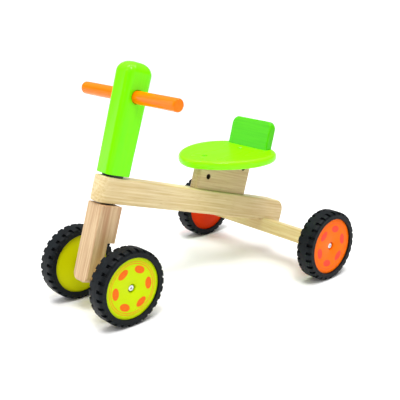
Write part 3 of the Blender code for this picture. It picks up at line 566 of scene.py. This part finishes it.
def make_main_beam():
    """The sloping beam: rounded at its nose and tail, housed over the rear axle beam."""
    low, high = extent("main_beam", TILTED)
    rounds = (
        (2, lambda middle: middle.y < 0, NOSE_RADIUS),
        (0, lambda middle: middle.y > TAIL_START and middle.z > (low.z + high.z) / 2, TAIL_RADIUS),
    )
    axle_low, axle_high = extent("rear_axle_beam", TILTED)
    housing = cutter_box((-0.03, axle_low.y - GAP, low.z - PAST),
                         (0.03, axle_high.y + GAP, axle_high.z + GAP))
    cutters = [housing] + sinks_below(("post_screw_front", "post_screw_rear"), low.z)
    bm = block(low, high, rounds, BEAM_EASE)
    add_piece("main_beam_timber", bm, TILTED, "frame", beam_wood, ["main_beam"], cutters,
              weighted=True)


def axle_end_cutters(low, high):
    """The insert bores in both ends of an axle block."""
    middle = (low + high) / 2
    profile = [(0, -INSERT_DEPTH), (INSERT_RADIUS, -INSERT_DEPTH), (INSERT_RADIUS, -0.0006)]
    profile += [(INSERT_RADIUS + 0.001, 0.0008), (0, 0.0008)]
    cutters = []
    for side in (-1, 1):
        cutters.append(cutter_turned(profile, aimed((side * high.x, middle.y, middle.z), (side, 0, 0))))
    return cutters


def make_axle_beams():
    """The rear axle beam and the shorter block behind the fork."""
    low, high = extent("rear_axle_beam", TILTED)
    screws = ("axle_beam_screw_left", "axle_beam_screw_right")
    cutters = axle_end_cutters(low, high) + sinks_below(screws, low.z)
    add_piece("rear_axle_timber", block(low, high, (), BLOCK_EASE), TILTED, "frame", axle_wood,
              ["rear_axle_beam"], cutters, weighted=True)
    low, high = extent("front_axle_block", TILTED)
    cutters = axle_end_cutters(low, high)
    for side in ("left", "right"):
        middle = centre_of("axle_block_screw_" + side, TILTED)
        cutters.append(sink_cutter((middle.x, high.y, middle.z), (0, 1, 0), **BLOCK_SINK))
    add_piece("front_axle_timber", block(low, high, (), BLOCK_EASE), TILTED, "steering", axle_wood,
              ["front_axle_block"], cutters, weighted=True)


def make_fork():
    """The fork leg: rounded at its foot and cut away behind for the axle block."""
    low, high = extent("fork", TILTED)
    leg_rear = extent("front_axle_block", TILTED)[0].y - GAP
    notch_top = extent("fork", TILTED, lambda point: 0.03 < point.z < 0.1 and point.y > 0.01)[0].z
    bm = block(low, high, ((1, lambda middle: middle.z < 0.02, FORK_FOOT_RADIUS),), BLOCK_EASE)
    notch = cutter_box((-0.05, leg_rear, low.z - 0.05), (0.05, 0.08, notch_top))
    screw = centre_of("fork_screw", TILTED)
    sink = sink_cutter((0, high.y, screw.z), (0, 1, 0), **FORK_SINK)
    piece = add_piece("fork_timber", bm, TILTED, "steering", fork_wood, ["fork"], [notch, sink])
    easing = piece.modifiers.new("eased notch", "BEVEL")
    easing.width = NOTCH_EASE
    easing.segments = 3
    easing.limit_method = "ANGLE"
    easing.angle_limit = math.radians(60)
    even_shading(piece)


def make_seat_post():
    """The post under the seat: cut level on top, with the cross holes of the two barrel nuts."""
    low, high = extent("seat_post", TILTED)
    corners = (2, lambda middle: True, POST_CORNER)
    bm = block(low, (high.x, high.y, high.z + 0.03), (corners,), POST_EASE, 2)
    level = extent("seat_post")[1].z
    tilt_back = TILTED.inverted()
    lid = cutter_box((-0.1, -0.2, level), (0.1, 0.4, level + 0.2))
    lid.transform(tilt_back)
    cutters = [lid]
    inside = high.x - 0.0005
    outside = high.x + 0.002
    radius = NUT_BORE_RADIUS
    flared = radius + NUT_BORE_FLARE
    profile = [(0, -outside), (flared, -outside), (radius, -inside)]
    profile += [(radius, inside), (flared, outside), (0, outside)]
    for end in ("front", "rear"):
        axes = tilt_back @ aimed(centre_of("seat_barrel_nut_" + end), ACROSS)
        cutters.append(cutter_turned(profile, axes))
    add_piece("seat_post_timber", bm, TILTED, "frame", post_wood, ["seat_post"], cutters,
              weighted=True)


# ---------------- painted pieces

SEAT_REAR_POWER = 2.4        # superellipse powers: above 2 is squarer, below 2 more pointed
SEAT_FRONT_POWER = 1.75
SEAT_EDGE = 0.0078
SEAT_RECESS_RADIUS = 0.0058
SEAT_RECESS_DEPTH = 0.006
SEAT_RECESS_FLARE = 0.0011
BACK_CORNER = 0.017
BACK_EASE = 0.0034


def seat_outline(low, high, widest, count=200):
    """A shield: a blunt point in front, wide and square-shouldered at the back."""
    points = []
    for i in range(count):
        angle = 2 * math.pi * i / count
        rear = math.sin(angle) > 0
        power = SEAT_REAR_POWER if rear else SEAT_FRONT_POWER
        length = high.y - widest if rear else widest - low.y
        x = math.copysign(high.x * abs(math.cos(angle)) ** (2 / power), math.cos(angle))
        y = math.copysign(length * abs(math.sin(angle)) ** (2 / power), math.sin(angle))
        points.append(Vector((x, widest + y)))
    for _ in range(6):
        points = [(points[i - 1] + 2 * points[i] + points[(i + 1) % count]) / 4 for i in range(count)]
    return points


def make_seat():
    """The seat board: a round-edged shield with the bolts' recesses and the back's screw holes."""
    low, high = extent("seat")
    vertices = frame["nodes"]["seat"].data.vertices
    widest = max((vertex.co for vertex in vertices), key=lambda point: round(point.x, 5)).y
    outline = seat_outline(low, high, widest)
    middle = Vector((0, widest))
    edge = SEAT_EDGE
    levels = [(edge, low.z)]
    levels += [(edge - x, z) for x, z in arc((0, low.z + edge), edge, -90, 0, 8)]
    levels += [(edge - x, z) for x, z in arc((0, high.z - edge), edge, 0, 90, 8)]
    levels.append((edge + 0.006, high.z))
    rings = []
    for inset, z in levels:
        arms = [point - middle for point in outline]
        spots = [middle + arm * (1 - inset / arm.length) for arm in arms]
        rings.append([(spot.x, spot.y, z) for spot in spots])
    cutters = []
    radius = SEAT_RECESS_RADIUS
    flared = radius + SEAT_RECESS_FLARE
    profile = [(0, -SEAT_RECESS_DEPTH), (radius, -SEAT_RECESS_DEPTH), (radius, -0.0009)]
    profile += [(flared, 0.0004), (flared, PAST), (0, PAST)]
    for end in ("front", "rear"):
        bolt = centre_of("seat_bolt_" + end)
        cutters.append(cutter_turned(profile, Matrix.Translation((bolt.x, bolt.y, high.z))))
    profile = [(0, -PAST), (0.0052, -PAST), (0.0044, 0.0012), (0.0044, 0.0024), (0, 0.0024)]
    for side in ("left", "right"):
        node = "seat_back_screw_" + side
        screw = centre_of(node, LEANING)
        foot = Vector((screw.x, screw.y, extent(node, LEANING)[0].z))
        cutters.append(cutter_turned(profile, LEANING @ Matrix.Translation(foot)))
    add_piece("seat_board", lofted(rings), WORLD, "frame", lime_seat, ["seat"], cutters,
              weighted=True)


def make_seat_back():
    """The leaning back board, its foot cut level to stand on the seat."""
    low, high = extent("seat_back", LEANING)
    corners = (1, lambda middle: middle.z > (low.z + high.z) / 2, BACK_CORNER)
    bm = block((low.x, low.y, low.z - PAST), high, (corners,), BACK_EASE)
    level = extent("seat_back")[0].z
    foot = cutter_box((-0.1, 0.05, level - 0.1), (0.1, 0.4, level))
    foot.transform(LEANING.inverted())
    add_piece("seat_back_board", bm, LEANING, "frame", green_board, ["seat_back"], [foot],
              weighted=True)


def rounded_section(half_x, half_s, radius):
    """A rounded rectangle about the middle, as (x, s) points."""
    points = []
    for quarter, (side_x, side_s) in enumerate(((1, 1), (-1, 1), (-1, -1), (1, -1))):
        for step in range(CORNER_STEPS + 1):
            angle = math.radians(90 * quarter + 90 * step / CORNER_STEPS)
            x = side_x * (half_x - radius) + radius * math.cos(angle)
            s = side_s * (half_s - radius) + radius * math.sin(angle)
            points.append((x, s))
    return points


CROWN = 0.022
FOOT_CORNER = 0.011
TOP_CORNER = 0.015
COLUMN_EASE = 0.0016
BORE_LIP = 0.0012
SCREW_SINK_DEPTH = 0.0062
SCREW_SINK_FLARE = 0.012
BAR_EASE = 0.0032


def column_levels(foot, shoulder):
    """(height, inset, share of the taper) up the column: eased foot, long taper, domed crown."""
    levels = []
    start = foot + COLUMN_EASE
    for i in range(5):
        turn = math.pi / 2 * i / 4
        levels.append((start - COLUMN_EASE * math.cos(turn), COLUMN_EASE * (1 - math.sin(turn)), 0.0))
    levels += [(start + (shoulder - start) * i / 12, 0.0, i / 12) for i in range(1, 13)]
    for i in range(1, 15):
        turn = math.pi / 2 * i / 14
        levels.append((shoulder + CROWN * math.sin(turn), CROWN * (1 - math.cos(turn)), 1.0))
    return levels


def make_column():
    """A tapered post with rounded corners, a domed crown and a chamfered bore for the bar."""
    low, high = extent("steering_column", TILTED)
    lower = extent("steering_column", TILTED, lambda point: point.z < low.z + 0.01)[1]
    shoulder = high.z - CROWN
    rings = []
    for height, inset, share in column_levels(low.z, shoulder):
        half_x = lower.x + (high.x - lower.x) * share - inset
        half_s = lower.y + (high.y - lower.y) * share - inset
        radius = max(FOOT_CORNER + (TOP_CORNER - FOOT_CORNER) * share - inset * 0.55, 0.003)
        section = rounded_section(half_x, half_s, min(radius, half_x - 0.0005))
        rings.append([(x, s, height) for x, s in section])
    bar_low, bar_high = extent("handlebar", TILTED)
    radius = (bar_high.z - bar_low.z) / 2 + GAP
    centre = (0, 0, (bar_low.z + bar_high.z) / 2)
    face = lower.x + (high.x - lower.x) * (centre[2] - low.z) / (shoulder - low.z)
    reach = 0.05
    flared = radius + reach - face + BORE_LIP
    bore = [(0, -reach), (flared, -reach), (radius, -face + BORE_LIP)]
    bore += [(radius, face - BORE_LIP), (flared, reach), (0, reach)]
    cutters = [cutter_turned(bore, aimed(centre, ACROSS), 96)]
    for node in ("handlebar_screw", "column_screw"):
        screw_low, screw_high = extent(node, TILTED)
        radius = (screw_high.x - screw_low.x) / 2 + GAP
        place = (0, screw_high.y + 0.001, (screw_low.z + screw_high.z) / 2)
        profile = [(0, -SCREW_SINK_DEPTH), (radius, -SCREW_SINK_DEPTH), (radius, -0.0012)]
        profile += [(radius + SCREW_SINK_FLARE, SCREW_SINK_FLARE), (0, SCREW_SINK_FLARE)]
        cutters.append(cutter_turned(profile, aimed(place, (0, 1, 0))))
    add_piece("column_post", lofted(rings), TILTED, "steering", lime_column,
              ["steering_column"], cutters, sharp=32, weighted=True)


def make_handlebar():
    """A straight dowel with eased ends, through the column."""
    low, high = extent("handlebar", TILTED)
    radius = (high.z - low.z) / 2
    end = high.x
    ease = BAR_EASE
    profile = [(0, -end)]
    profile += arc((radius - ease, -end + ease), ease, -90, 0, 8)
    profile += [(radius, -end + ease + (2 * end - 2 * ease) * i / 24) for i in range(1, 24)]
    profile += arc((radius - ease, end - ease), ease, 0, 90, 8)
    profile.append((0, end))
    bm = turned(profile, 72)
    bmesh.ops.transform(bm, matrix=Matrix.Rotation(math.pi / 2, 4, "Y"), verts=bm.verts)
    axes = TILTED @ Matrix.Translation((0, 0, (low.z + high.z) / 2))
    add_piece("handlebar_dowel", bm, axes, "steering", orange_bar, ["handlebar"])


# ---------------- wheels

LUGS = 28
STATIONS = (0.0, 0.11, 0.22, 0.30, 0.325, 0.41, 0.5, 0.59, 0.675, 0.70, 0.78, 0.89)
SLOT_SPAN = (0.31, 0.69)     # the part of each lug's pitch that is a slot
SLOT_DEPTH = 0.0042
TYRE_HALF_PROFILE = (        # offset from the middle, radius, share of the slot's depth
    (0.0003, 0.07508, 0),
    (0.001, 0.075, 0),
    (0.004, 0.075, 0),
    (0.007, 0.075, 0),
    (0.0074, 0.075, 0),
    (0.0079, 0.075, 1),
    (0.0102, 0.07496, 1),
    (0.0126, 0.07482, 1),
    (0.0145, 0.07458, 1),
    (0.016, 0.07418, 1),
    (0.0172, 0.07348, 1),
    (0.0181, 0.07258, 1),
    (0.0187, 0.0715, 1),
    (0.0191, 0.0706, 0.75),
    (0.0194, 0.0696, 0.2),
    (0.0195, 0.0686, 0),
    (0.0194, 0.0672, 0),
    (0.0192, 0.066, 0),
    (0.0193, 0.0648, 0),
    (0.0195, 0.064, 0),
    (0.0195, 0.0623, 0),
    (0.01945, 0.061, 0),
    (0.0192, 0.0603, 0),
    (0.0186, 0.06, 0),
    (0.0153, 0.06, 0),
    (0.0153, 0.0617, 0),
)
TYRE_SPIN = {"front_left": 9.0, "front_right": 4.0, "rear_left": 5.5, "rear_right": 1.0}
HUB_BORE = 0.0073
HUB_RECESS = 0.0088
HUB_GROOVES = (0.0443, 0.0563)
GROOVE_HALF_WIDTH = 0.0006
GROOVE_DEPTH = 0.00035
HUB_EDGE = ((0.0012, 0.0), (0.0003, 0.0004), (0.0, 0.0012))     # in from the rim, down from the face
HEAD_CLEAR = 0.006           # points of a bolt farther out than this belong to its head
AXLE_SHAFT = 0.004
AXLE_PITCH = 0.00125
AXLE_THREAD_DEPTH = 0.0006
AXLE_PLAIN = 0.018           # the plain part of the shaft, under the head
SPACER_BORE = 0.0043


def tyre_mesh(spin):
    """A tyre about Z with a row of slots on each side that opens at the shoulder."""
    loop = [(-u, r, d) for u, r, d in reversed(TYRE_HALF_PROFILE)] + list(TYRE_HALF_PROFILE)
    outline = np.array([(r, u) for u, r, d in loop])
    share = np.array([d for u, r, d in loop])
    run = np.roll(outline, -1, 0) - np.roll(outline, 1, 0)
    inward = np.stack((-run[:, 1], run[:, 0]), 1)
    inward /= np.linalg.norm(inward, axis=1)[:, None]
    pitch = 2 * math.pi / LUGS
    rings = []
    bm = bmesh.new()
    for lug in range(LUGS):
        for place in STATIONS:
            angle = spin + (lug + place) * pitch
            slot = SLOT_DEPTH if SLOT_SPAN[0] < place < SLOT_SPAN[1] else 0.0
            ring = []
            for (radius, height), (in_radius, in_height), amount in zip(outline, inward, share):
                away = slot * amount
                r = radius + in_radius * away
                point = (r * math.cos(angle), r * math.sin(angle), height + in_height * away)
                ring.append(bm.verts.new(point))
            rings.append(ring)
    count = len(outline)
    for first, second in zip(rings, rings[1:] + rings[:1]):
        for k in range(count):
            m = (k + 1) % count
            bm.faces.new((first[k], first[m], second[m], second[k]))
    return bm


def make_tyre(wheel):
    bm = tyre_mesh(math.radians(TYRE_SPIN[wheel]))
    add_piece(wheel + "_treaded_tyre", bm, wheel_axes(wheel), wheel + "_wheel", tyre_rubber,
              [wheel + "_tyre"], sharp=28)


def head_underside(wheel):
    """Height of the face under an axle bolt's head, along its axle."""
    head = extent(wheel + "_axle_bolt", wheel_axes(wheel),
                  lambda point: math.hypot(point.x, point.y) > HEAD_CLEAR)
    return head[0].z


def make_hub(wheel, finish):
    """A turned disc, its outer face recessed for the bolt's head and lightly grooved."""
    face, rim = extent(wheel + "_hub", wheel_axes(wheel))[1].zx
    recess = HUB_RECESS
    floor = head_underside(wheel) - GAP
    profile = [(HUB_BORE, -face), (HUB_BORE, floor), (recess - 0.0004, floor), (recess, floor + 0.0004)]
    profile += [(recess, face - 0.0009), (recess + 0.0003, face - 0.0003), (recess + 0.0009, face)]
    for groove in HUB_GROOVES:
        profile.append((groove - GROOVE_HALF_WIDTH, face))
        profile.append((groove, face - GROOVE_DEPTH))
        profile.append((groove + GROOVE_HALF_WIDTH, face))
    profile += [(rim - inset, face - drop) for inset, drop in HUB_EDGE]
    profile += [(rim - inset, drop - face) for inset, drop in reversed(HUB_EDGE)]
    add_piece(wheel + "_painted_hub", turned(profile, 128, ring=True), wheel_axes(wheel), wheel + "_wheel",
              finish, [wheel + "_hub"], sharp=30)


def hexagon_cutter(radius, low, high):
    return cutter_turned([(0, low), (radius, low), (radius, high), (0, high)], steps=6)


def make_axle_bolt(wheel, body):
    """A button-edged socket bolt through the hub into its insert."""
    axes = wheel_axes(wheel)
    low, high = extent(wheel + "_axle_bolt", axes)
    head = high.x
    foot = head_underside(wheel)
    shaft = AXLE_SHAFT
    ease = 0.0013
    profile = [(0, low.z), (shaft - 0.0008, low.z), (shaft, low.z + 0.0008)]
    for i in range(int((foot - AXLE_PLAIN - 0.002 - low.z) / AXLE_PITCH)):
        start = low.z + 0.0012 + AXLE_PITCH * i
        profile += [(shaft, start), (shaft - AXLE_THREAD_DEPTH, start + AXLE_THREAD_DEPTH)]
    profile += [(shaft, foot - AXLE_PLAIN), (shaft, foot - 0.0002)]
    profile += [(head - 0.0003, foot), (head, foot + 0.0003)]
    profile += arc((head - ease, high.z - ease), ease, 0, 90, 6)
    profile += [(0.0040, high.z), (0.0037, high.z - 0.0002), (0, high.z - 0.0002)]
    cutters = [hexagon_cutter(0.0029, high.z - 0.003, high.z + 0.001)]
    add_piece(wheel + "_axle_socket_bolt", turned(profile, 48), axes, body, bright,
              [wheel + "_axle_bolt"], cutters, sharp=30)


def make_spacer(wheel, body):
    """The collar between an axle block and its wheel."""
    axes = wheel_axes(wheel)
    low, high = extent(wheel + "_axle_spacer", axes)
    outer = high.x
    inner = SPACER_BORE
    ease = 0.0007
    profile = [(inner, low.z + ease), (inner + ease, low.z), (outer - ease, low.z), (outer, low.z + ease)]
    profile += [(outer, high.z - ease), (outer - ease, high.z)]
    profile += [(inner + ease, high.z), (inner, high.z - ease)]
    add_piece(wheel + "_axle_collar", turned(profile, 64, ring=True), axes, body, zinc,
              [wheel + "_axle_spacer"], sharp=30)


# ---------------- fixings

SCREW_PITCH = 0.0018
SCREW_HEAD = 0.0022
SCREW_PLAIN = 0.012      # plain length kept under a wood screw's head
BOLT_PITCH = 0.001


def cross_cutters(width, half_length, depth, top):
    """A tapered cross for a screwdriver, cut down from the head's face."""
    cutters = []
    for turn in (0, math.pi / 2):
        bm = bmesh.new()
        place = Matrix.Translation((0, 0, top)) @ Matrix.Rotation(turn, 4, "Z")
        size = Matrix.Diagonal((2 * half_length, width, 2 * depth, 1))
        bmesh.ops.create_cube(bm, size=1, matrix=place @ size)
        inverse = place.inverted()
        for vertex in bm.verts:
            height = (inverse @ vertex.co).z
            if height < 0:
                middle = place @ Vector((0, 0, height))
                vertex.co = middle + (vertex.co - middle) * 0.45
        cutters.append(as_mesh(bm, "cutter"))
    return cutters


def make_screw(node, axes, direction, body, shaft):
    """A wood screw with a driver cross, its head at the end that the direction points to."""
    placed = axes @ aimed(centre_of(node, axes), direction)
    low, high = extent(node, placed)
    head = high.x
    face = high.z
    profile = [(0, low.z), (shaft * 0.5, low.z + 0.0025)]
    start = low.z + 0.003
    while start < face - SCREW_HEAD - SCREW_PLAIN:
        profile += [(shaft * 0.72, start), (shaft, start + SCREW_PITCH * 0.5)]
        start += SCREW_PITCH
    profile += [(shaft * 0.8, start), (shaft * 0.8, face - SCREW_HEAD - shaft)]
    profile += [(head - 0.0002, face - 0.0010), (head, face - 0.0007)]
    profile += [(head - 0.0004, face - 0.0001), (head * 0.5, face), (0, face)]
    cutters = cross_cutters(head * 0.26, head * 0.62, 0.0011, face)
    add_piece(node + "_cross_head", turned(profile, 40), placed, body, zinc, [node], cutters,
              sharp=30)


def make_seat_bolt(node):
    """A socket bolt down through the seat; its head is painted green."""
    low, high = extent(node)
    head = (high.x - low.x) / 2
    foot = high.z - 0.0042
    shaft = 0.0030
    profile = [(0, low.z), (0.0026, low.z), (shaft, low.z + 0.0004)]
    start = low.z + 0.001
    while start < foot - 0.02:
        profile += [(shaft, start), (0.0025, start + 0.0005)]
        start += BOLT_PITCH
    profile += [(shaft, start), (shaft, foot), (head, foot)]
    profile += arc((head - 0.001, high.z - 0.001), 0.001, 0, 90, 5) + [(0, high.z)]
    cutters = [hexagon_cutter(0.0024, high.z - 0.0024, high.z + 0.001)]
    place = Matrix.Translation(((low.x + high.x) / 2, (low.y + high.y) / 2, 0))
    add_piece(node + "_socket_head", turned(profile, 40), place, "frame", green_bolt, [node],
              cutters, sharp=30)


def make_barrel_nut(node):
    """A cross nut in the seat post, slotted at both ends and bored through for its bolt."""
    low, high = extent(node)
    radius = (high.z - low.z) / 2
    half = (high.x - low.x) / 2
    ease = 0.0008
    profile = [(0, -half), (radius - ease, -half), (radius, -half + ease)]
    profile += [(radius, half - ease), (radius - ease, half), (0, half)]
    cutters = [
        cutter_box((-0.01, -0.0007, half - 0.0011), (0.01, 0.0007, half + 0.001)),
        cutter_box((-0.01, -0.0007, -half - 0.001), (0.01, 0.0007, -half + 0.0011)),
        cutter_turned([(0, -0.02), (0.0033, -0.02), (0.0033, 0.02), (0, 0.02)],
                      Matrix.Rotation(math.pi / 2, 4, "Y")),
    ]
    add_piece(node + "_slotted", turned(profile, 48), aimed((low + high) / 2, ACROSS), "frame", blackened,
              [node], cutters, sharp=30)


def make_head_bush():
    """The flanged nylon bush that shows as a black line under the column."""
    low, high = extent("upper_head_bush", TILTED)
    flange = high.x
    step = extent("main_beam", TILTED)[1].z + GAP
    bore = 0.0063
    sleeve = 0.0090
    ease = 0.0005
    profile = [(bore, low.z), (sleeve, low.z), (sleeve, step), (flange - ease, step), (flange, step + ease)]
    profile += [(flange, high.z - ease), (flange - ease, high.z), (bore, high.z)]
    add_piece("upper_head_bush_flange", turned(profile, 96, ring=True), TILTED, "frame", nylon_black,
              ["upper_head_bush"], sharp=30)


make_main_beam()
make_axle_beams()
make_fork()
make_seat_post()
make_seat()
make_seat_back()
make_column()
make_handlebar()
make_head_bush()
for end in ("front", "rear"):
    make_seat_bolt("seat_bolt_" + end)
    make_barrel_nut("seat_barrel_nut_" + end)

for wheel in WHEELS:
    front = wheel.startswith("front")
    carrier = "steering" if front else "frame"
    make_tyre(wheel)
    if front:
        make_hub(wheel, front_paint)
    else:
        make_hub(wheel, rear_paint)
    make_axle_bolt(wheel, carrier)
    make_spacer(wheel, carrier)

REAR_FACING = (("handlebar_screw", 0.0022), ("column_screw", 0.0025), ("fork_screw", 0.0025),
               ("axle_block_screw_left", 0.0025), ("axle_block_screw_right", 0.0025))
for node, shaft in REAR_FACING:
    make_screw(node, TILTED, (0, 1, 0), "steering", shaft)
for node in ("post_screw_front", "post_screw_rear", "axle_beam_screw_left", "axle_beam_screw_right"):
    make_screw(node, TILTED, (0, 0, -1), "frame", 0.0025)
for node in ("seat_back_screw_left", "seat_back_screw_right"):
    make_screw(node, LEANING, (0, 0, -1), "frame", 0.002)

# The pieces that keep their CAD meshes, all hidden or nearly so, get a finish.
KEPT = {
    "lower_head_bush": nylon_black,
    "kingpin": zinc,
    "steering_stop_pin": zinc,
    "post_dowel_front": dowel_wood,
    "post_dowel_rear": dowel_wood,
}
for wheel in WHEELS:
    KEPT[wheel + "_axle_insert"] = brass_plain
    KEPT[wheel + "_hub_bush"] = nylon_black
for node, finish in KEPT.items():
    node_mesh = frame["nodes"][node].data
    node_mesh.materials.clear()
    node_mesh.materials.append(finish)


# ---------------- stage, light and camera

FLOOR_RADIUS = 60
FLOOR_DROP = 0.0004
WORLD_LOW = 0.09
WORLD_HIGH = 1.02
CAMERA_AZIMUTH = 47.776
CAMERA_ELEVATION = 17.162
CAMERA_PLACE = (1.0970, -0.9607, 0.6270)
CAMERA_LENS = 65.6
TRIKE_MIDDLE = (0, 0, 0.2)


def make_floor():
    """A plain pale floor, wide enough to pass under the horizon."""
    bm = bmesh.new()
    bmesh.ops.create_circle(bm, cap_ends=True, segments=96, radius=FLOOR_RADIUS)
    mesh = as_mesh(bm, "studio_floor")
    finish = Finish("pale_floor", specular=0.1)
    cloud = finish.noise(finish.place, 1.5, detail=2)
    grain = finish.noise(finish.place, 300, detail=2)
    colour = finish.mix(finish.spread(cloud, 0.3, 0.7), srgb(255, 255, 255), srgb(251, 251, 251))
    roughness = finish.spread(cloud, 0.3, 0.7, 0.8, 0.9)
    mesh.materials.append(finish.done(colour, roughness, finish.bump(grain, 0.05, 0.0001)))
    floor = put("studio_floor", mesh)
    floor.location.z = -FLOOR_DROP


def make_world():
    """A white studio: bright overhead, dimmer low down, and a bright line along the horizon."""
    world = bpy.data.worlds.new("studio")
    world.use_nodes = True
    tree = world.node_tree
    background = tree.nodes["Background"]
    background.inputs["Color"].default_value = (1, 1, 1, 1)
    place = tree.nodes.new("ShaderNodeTexCoord")
    parts = tree.nodes.new("ShaderNodeSeparateXYZ")
    tree.links.new(place.outputs["Generated"], parts.inputs[0])

    def ramp(low, high, to_low, to_high):
        made = tree.nodes.new("ShaderNodeMapRange")
        ends = {"From Min": low, "From Max": high, "To Min": to_low, "To Max": to_high}
        for key, value in ends.items():
            made.inputs[key].default_value = value
        tree.links.new(parts.outputs["Z"], made.inputs["Value"])
        return made.outputs[0]

    total = tree.nodes.new("ShaderNodeMath")
    tree.links.new(ramp(0.3, 0.85, WORLD_LOW, WORLD_HIGH), total.inputs[0])
    tree.links.new(ramp(0.09, 0.18, 1.0 - WORLD_LOW, 0.0), total.inputs[1])
    tree.links.new(total.outputs[0], background.inputs["Strength"])
    scene.world = world


def add_sun(direction, strength, spread):
    """Broad light from far off; direction points from the trike to the light."""
    light = bpy.data.lights.new("broad_sun", "SUN")
    light.energy = strength
    light.angle = math.radians(spread)
    lamp = put("broad_sun", light)
    lamp.rotation_euler = Vector(direction).to_track_quat("Z", "Y").to_euler()


def add_softbox(name, position, width, height, power):
    """A rectangular light turned towards the middle of the trike."""
    light = bpy.data.lights.new(name, "AREA")
    light.shape = "RECTANGLE"
    light.size = width
    light.size_y = height
    light.energy = power
    lamp = put(name, light)
    lamp.location = position
    direction = Vector(TRIKE_MIDDLE) - Vector(position)
    lamp.rotation_euler = direction.to_track_quat("-Z", "Y").to_euler()


def make_camera():
    """The camera stands in front of the trike's left side and looks slightly down."""
    azimuth = math.radians(CAMERA_AZIMUTH)
    elevation = math.radians(CAMERA_ELEVATION)
    back = Vector((
        math.sin(azimuth) * math.cos(elevation),
        -math.cos(azimuth) * math.cos(elevation),
        math.sin(elevation),
    ))
    data = bpy.data.cameras.new("studio_camera")
    data.sensor_width = 36
    data.lens = CAMERA_LENS
    data.clip_start = 0.05
    data.clip_end = 200
    camera = put("studio_camera", data)
    camera.location = CAMERA_PLACE
    camera.rotation_euler = (-back).to_track_quat("-Z", "Y").to_euler()
    scene.camera = camera


make_floor()
make_world()
add_sun((0.45, -0.30, 1.3), 1.55, 20)
add_softbox("key_softbox", (-1.5, -1.5, 0.75), 0.4, 1.2, 3)
add_softbox("rim_strip", (-0.55, -1.5, 1.45), 2.2, 0.10, 5)
add_softbox("top_strip", (-0.08, 0.07, 1.7), 2.2, 0.13, 17)
add_softbox("front_strip", (0.75, -1.9, 0.7), 0.1, 1.2, 2)
add_softbox("side_strip", (2.0, 0.5, 0.8), 0.2, 1.2, 2)
make_camera()
scene.view_settings.view_transform = "Standard"
